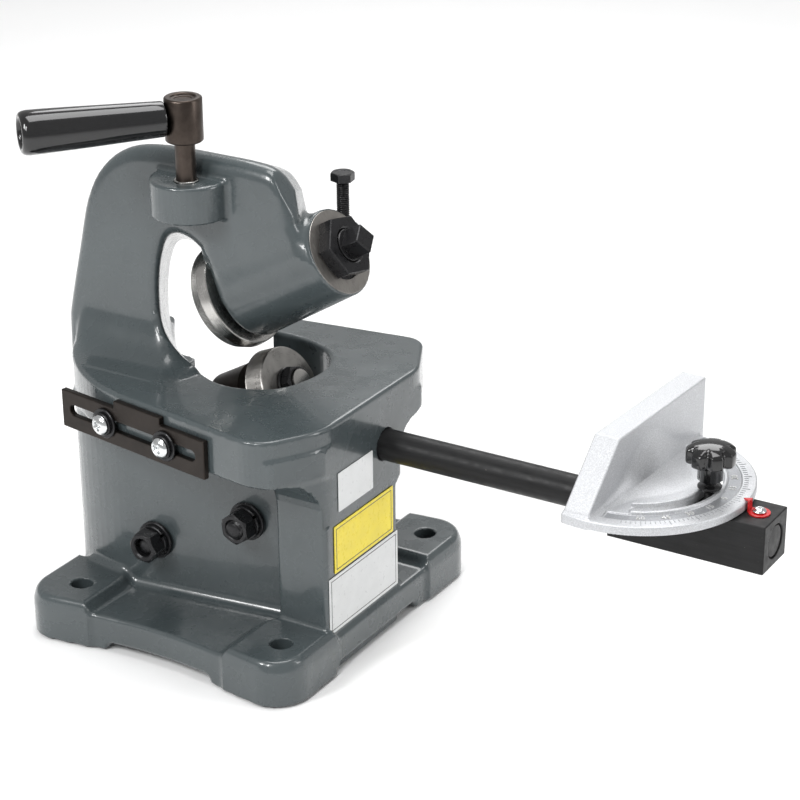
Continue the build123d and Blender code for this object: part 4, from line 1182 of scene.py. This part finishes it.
def block_field(u, v, w):
    """The sliding block: a square bar bored for the rod."""
    body = intersect_round(box2(u, v, 253.0, 350.5, -16.0, 16.0, 0.7), slab(w, 113.8, 143.8), 0.7)
    bore = hyp(v, w - ROD_Z) - 10.3
    return cut_round(body, bore, 0.5)


def arc_band(r, angle, low, high, half_angle):
    """Distance to a stretch of ring between two radii."""
    return np.maximum(slab(r, low, high), (np.abs(angle) - half_angle) * r)


def head_field(u, v, w):
    """The protractor plate with its fence, ribs and arc slot."""
    r = hyp(u, v)
    angle = np.arctan2(v, u)
    disc = intersect_round(np.maximum(r - HEAD_R, FENCE_U[0] + 0.1 - u), slab(w, 0.0, 5.5), 0.9)
    disc = cut_round(disc, np.maximum(arc_band(r, angle, *BAND_R, 1.42), 4.6 - w), 0.35)
    disc = cut_round(disc, np.maximum(np.maximum(r - 49.5, 5.0 - u), 4.2 - w), 0.5)
    for low, high in ((38.2, 40.7), (49.2, BAND_R[0])):
        rib = intersect_round(arc_band(r, angle, low, high, 1.16), slab(w, 1.0, 6.7), 0.6)
        disc = union_round(disc, rib, 0.7)
    fence = polygon(v, w, [(-67.5, 0.0), (74.0, 0.0), (74.0, FENCE_TOP), (-32.0, FENCE_TOP), (-66.8, 5.6)])
    fence = intersect_round(fence, slab(u, *FENCE_U), 0.9)
    sweep = 2.0 + 27.0 * np.exp(-((v - 4.0) / 30.0) ** 2)
    body = union_round(disc, fence, sweep)
    slot = np.sqrt(np.maximum((np.abs(angle) - 1.08) * r, 0.0) ** 2 + (r - SLOT_R) ** 2) - 4.2
    body = cut_round(body, slot, 0.4)
    return np.maximum(body, -np.maximum(r - 8.2, slab(w, -1.0, 10.5)))


def build_guide():
    """The guide rod, the block and the protractor head with its knob and pointer."""
    place = Place((50.0, MID_Y, ROD_Z), EAST, NORTH)
    rows = [(0.0, 0.0), (9.4, 0.0), (10.0, 0.6), (10.0, 299.1), (9.2, 299.9), (8.0, 300.0), (0.0, 300.0)]
    show(polar("rod", place, rows, 96), "root", "satin_black", replaces=["guide_rod"])
    place = Place((0.0, MID_Y, 0.0), UP, EAST)
    step = 0.8
    show(solid("block", place, block_field, (251.0, -18.0, 112.0), (353.0, 18.0, 146.0), step), "block",
         "satin_black",
         replaces=["guide_block"])
    place = Place((PIVOT[0], PIVOT[1], HEAD_LOW), UP, EAST).turned(HEAD_TURN)
    step = 0.75
    head = solid("protractor", place, head_field, (-16.0, -72.0, -1.5), (73.0, 76.5, 43.0), step)
    show(head, "head", "cast_aluminium", replaces=["miter_head"])
    build_scale(place)
    show(build_band(place), "head", "cast_aluminium", "band_aluminium")
    place = Place(KNOB, UP, EAST)
    show(build_knob(place), "knob", "black_plastic", replaces=["clamp_knob"])
    stud = polar("knob_bolt", place, [(0.0, -30.5)] + thread_rows(3.0, 1.0, -30.5, -3.0, 48) + [(0.0, -3.0)],
                 48, sharp=40.0)
    show(stud, "block", "zinc", "black_steel", replaces=["knob_stud"])
    show(ring("knob_ring", place, 3.1, 7.0, -17.6, -16.1, 0.3), "block", "zinc", "black_steel",
         replaces=["knob_washer"])
    bevelled(keep("pointer", "red_paint"), 0.25)
    place = Place((340.0, MID_Y, 144.9), UP, EAST)
    head = solid("pointer_screw_head", place.turned(30.0), phillips_field(4.1, 2.4), (-4.6, -4.6, -0.5),
                 (4.6, 4.6, 3.2), 0.2)
    show(head, "block", "zinc", replaces=["pointer_screw"])
    keep("pivot_screw", "zinc")
    keep("rod_set_screw", "black_steel")
    keep("block_set_screw", "black_steel")


def build_knob(place):
    """A seven-lobed knob with a domed top and a fluted skirt."""
    angles = round_angles(224)
    lobe = np.cos(angles * 7.0)
    valley = np.clip(-lobe * 0.9 + 0.12, 0.0, 1.0) ** 1.3
    wide = 14.5 - 2.7 * valley
    stem = 7.4 - 0.35 * valley
    rows = [(3.1, -12.5), (stem - 0.5, -12.5), (stem, -12.0), (stem, -4.4), (stem + 1.2, -3.0),
            (wide - 1.4, -2.1),
            (wide - 0.4, -1.5), (wide, -0.5), (wide, 5.2), (wide - 0.3, 6.1), (wide - 1.0, 6.9),
            (wide - 2.2, 7.6)]
    crown = 14.5 - 2.7 * 0.5
    for k in (0.8, 0.66, 0.5, 0.33, 0.16):
        rows.append((np.minimum(wide - 2.2, crown * k) * 0.999, 7.6 + 2.7 * (1.0 - k * k)))
    rows += [(0.0, 10.3)]
    return polar("knob_body", place, [(0.0, -11.0), (3.1, -11.0)] + rows, 224, sharp=50.0)


def build_band(place):
    """The darker floor of the scale between the ribs and the rim."""
    angles = np.linspace(-1.40, 1.40, 90)
    verts = []
    for angle in angles:
        for r, w in ((BAND_R[0] + 0.4, 4.55), (BAND_R[1] - 0.4, 4.55), (BAND_R[1] - 0.4, 4.68),
                     (BAND_R[0] + 0.4, 4.68)):
            verts.append((r * math.cos(angle), r * math.sin(angle), w))
    return placed("scale_band", place, verts, strip_faces(len(angles), 4))


def build_scale(place):
    """The raised numerals on the band and the lines on the rim."""
    numerals, lines = [], []
    for mark in range(-75, 76, 15):
        at = place.turned(mark)
        spot = Place(at.point(55.7, 0.0, 4.65), UP, np.cross(-at.u, UP))
        if abs(mark) <= 60:
            numerals.append(lettering(str(abs(mark)), spot, 5.4, 0.9))
    for step in range(-28, 29):
        angle = step * 2.5
        start, length = (61.0, 4.6) if step % 6 == 0 else (61.0, 2.6)
        at = place.turned(angle)
        lines.append(bar(Place(at.point(start, 0.0, 5.45), UP, at.u), length, 0.45, 0.3))
    show(joined("scale_numerals", numerals), "head", "cast_aluminium", "machined_aluminium")
    show(joined("scale_lines", lines), "head", "cast_aluminium", "band_aluminium")


# ================================================================ plates
def sheet(name, low, high, thickness, corner, start=0.0):
    """A thin rounded plate on the front wall, between two (y, z) corners."""
    outline = rounded([(low[0], low[1], corner), (high[0], low[1], corner), (high[0], high[1], corner),
                       (low[0], high[1], corner)], 5)
    count = len(outline)
    verts = [(y, z, start) for y, z in outline] + [(y, z, start + thickness) for y, z in outline]
    faces = [list(range(count)), [2 * count - 1 - k for k in range(count)]]
    faces += [(k, (k + 1) % count, count + (k + 1) % count, count + k) for k in range(count)]
    return placed(name, Place((93.0, 0.0, 0.0), EAST, NORTH), verts, faces)


def frame_line(name, low, high, width, start):
    """A printed border line inside a plate's edge."""
    (x0, y0), (x1, y1) = low, high
    corners = (((x0, y0), (x1, y0 + width)), ((x0, y1 - width), (x1, y1)),
               ((x0, y0), (x0 + width, y1)), ((x1 - width, y0), (x1, y1)))
    strips = [sheet(name, first, second, 0.06, 0.1, start) for first, second in corners]
    return joined(name, strips)


def build_plates():
    """Three plain plates, two of them with a printed border."""
    for node, slot, border in (("mark_plate", "plate_white", 0.0), ("maker_plate", "plate_yellow", 0.55),
                               ("model_plate", "plate_white", 0.55)):
        low, high = node_box(node)
        start = float(low[0]) - 93.0 + 0.62
        plate = sheet(node.replace("plate", "sheet"), low[1:], high[1:], 0.3, 0.6, start)
        show(plate, "root", slot, replaces=[node])
        if border:
            inset = 2.0
            line = frame_line(node.replace("plate", "border"), low[1:] + inset, high[1:] - inset, border,
                              start + 0.29)
            show(line, "root", slot, "plate_ink")


# ================================================================ build
for build in (build_casting, build_drive, build_blades, build_studs, build_clamp, build_handle, build_bracket,
              build_guide, build_plates):
    build()


# ================================================================ camera, floor and light
CAMERA_AT = (0.7893, -1.1146, 0.7411)
CAMERA_RIGHT = (0.8553, 0.5181, -0.0070)
CAMERA_UP = (-0.2035, 0.3483, 0.9151)
SENSOR_MM, LENS_MM = 36.0, 106.58
LIGHT_AIM = (0.03, 0.0, 0.15)
SKY_STRENGTH = 0.46


def add_camera():
    """A long lens from the front right, above the table."""
    right = Vector(CAMERA_RIGHT)
    back = right.cross(Vector(CAMERA_UP)).normalized()
    up = back.cross(right).normalized()
    camera = bpy.data.objects.new("camera", bpy.data.cameras.new("camera"))
    bpy.context.scene.collection.objects.link(camera)
    turn = Matrix((right, up, back)).transposed().to_4x4()
    camera.matrix_world = Matrix.Translation(CAMERA_AT) @ turn
    camera.data.sensor_width = SENSOR_MM
    camera.data.lens = LENS_MM
    bpy.context.scene.camera = camera


def add_softbox(name, place, size, power):
    """A rectangular softbox aimed at the middle of the object."""
    light = bpy.data.lights.new(name, "AREA")
    light.shape = "RECTANGLE"
    light.size, light.size_y = size
    light.energy = power
    lamp = bpy.data.objects.new(name, light)
    bpy.context.scene.collection.objects.link(lamp)
    aim = Vector(place) - Vector(LIGHT_AIM)
    lamp.matrix_world = Matrix.Translation(place) @ aim.to_track_quat("Z", "Y").to_matrix().to_4x4()


def add_studio():
    """A pale floor, a pale surround and the softboxes."""
    bpy.ops.mesh.primitive_grid_add(x_subdivisions=8, y_subdivisions=8, size=14.0,
                                    location=(0.0, 0.0, -0.0008))
    floor = bpy.context.object
    floor.name = "floor"
    s = Surface("floor_paper")
    tone = s.blend(s.noise(3.0, 3.0), (0.92, 0.92, 0.92), (0.96, 0.96, 0.96))
    floor.data.materials.append(s.done(tone, s.remap(s.noise(30.0, 2.0), 0.3, 0.7, 0.7, 0.85)))
    world = bpy.data.worlds.new("studio")
    bpy.context.scene.world = world
    world.use_nodes = True
    sky = world.node_tree.nodes["Background"]
    sky.inputs["Color"].default_value = (1.0, 1.0, 1.0, 1.0)
    sky.inputs["Strength"].default_value = SKY_STRENGTH
    add_softbox("key", (-0.45, -1.35, 1.25), (0.28, 0.6), 13.5)
    add_softbox("second_key", (0.25, -1.5, 1.35), (0.22, 0.6), 10.0)
    add_softbox("side", (1.6, 0.35, 0.8), (0.35, 1.0), 7.0)
    add_softbox("back", (-0.5, 1.4, 1.6), (1.2, 0.8), 13.0)
    add_softbox("top", (0.1, 0.2, 1.9), (1.0, 1.0), 16.5)


add_camera()
add_studio()
bpy.context.scene.view_settings.view_transform = "Standard"
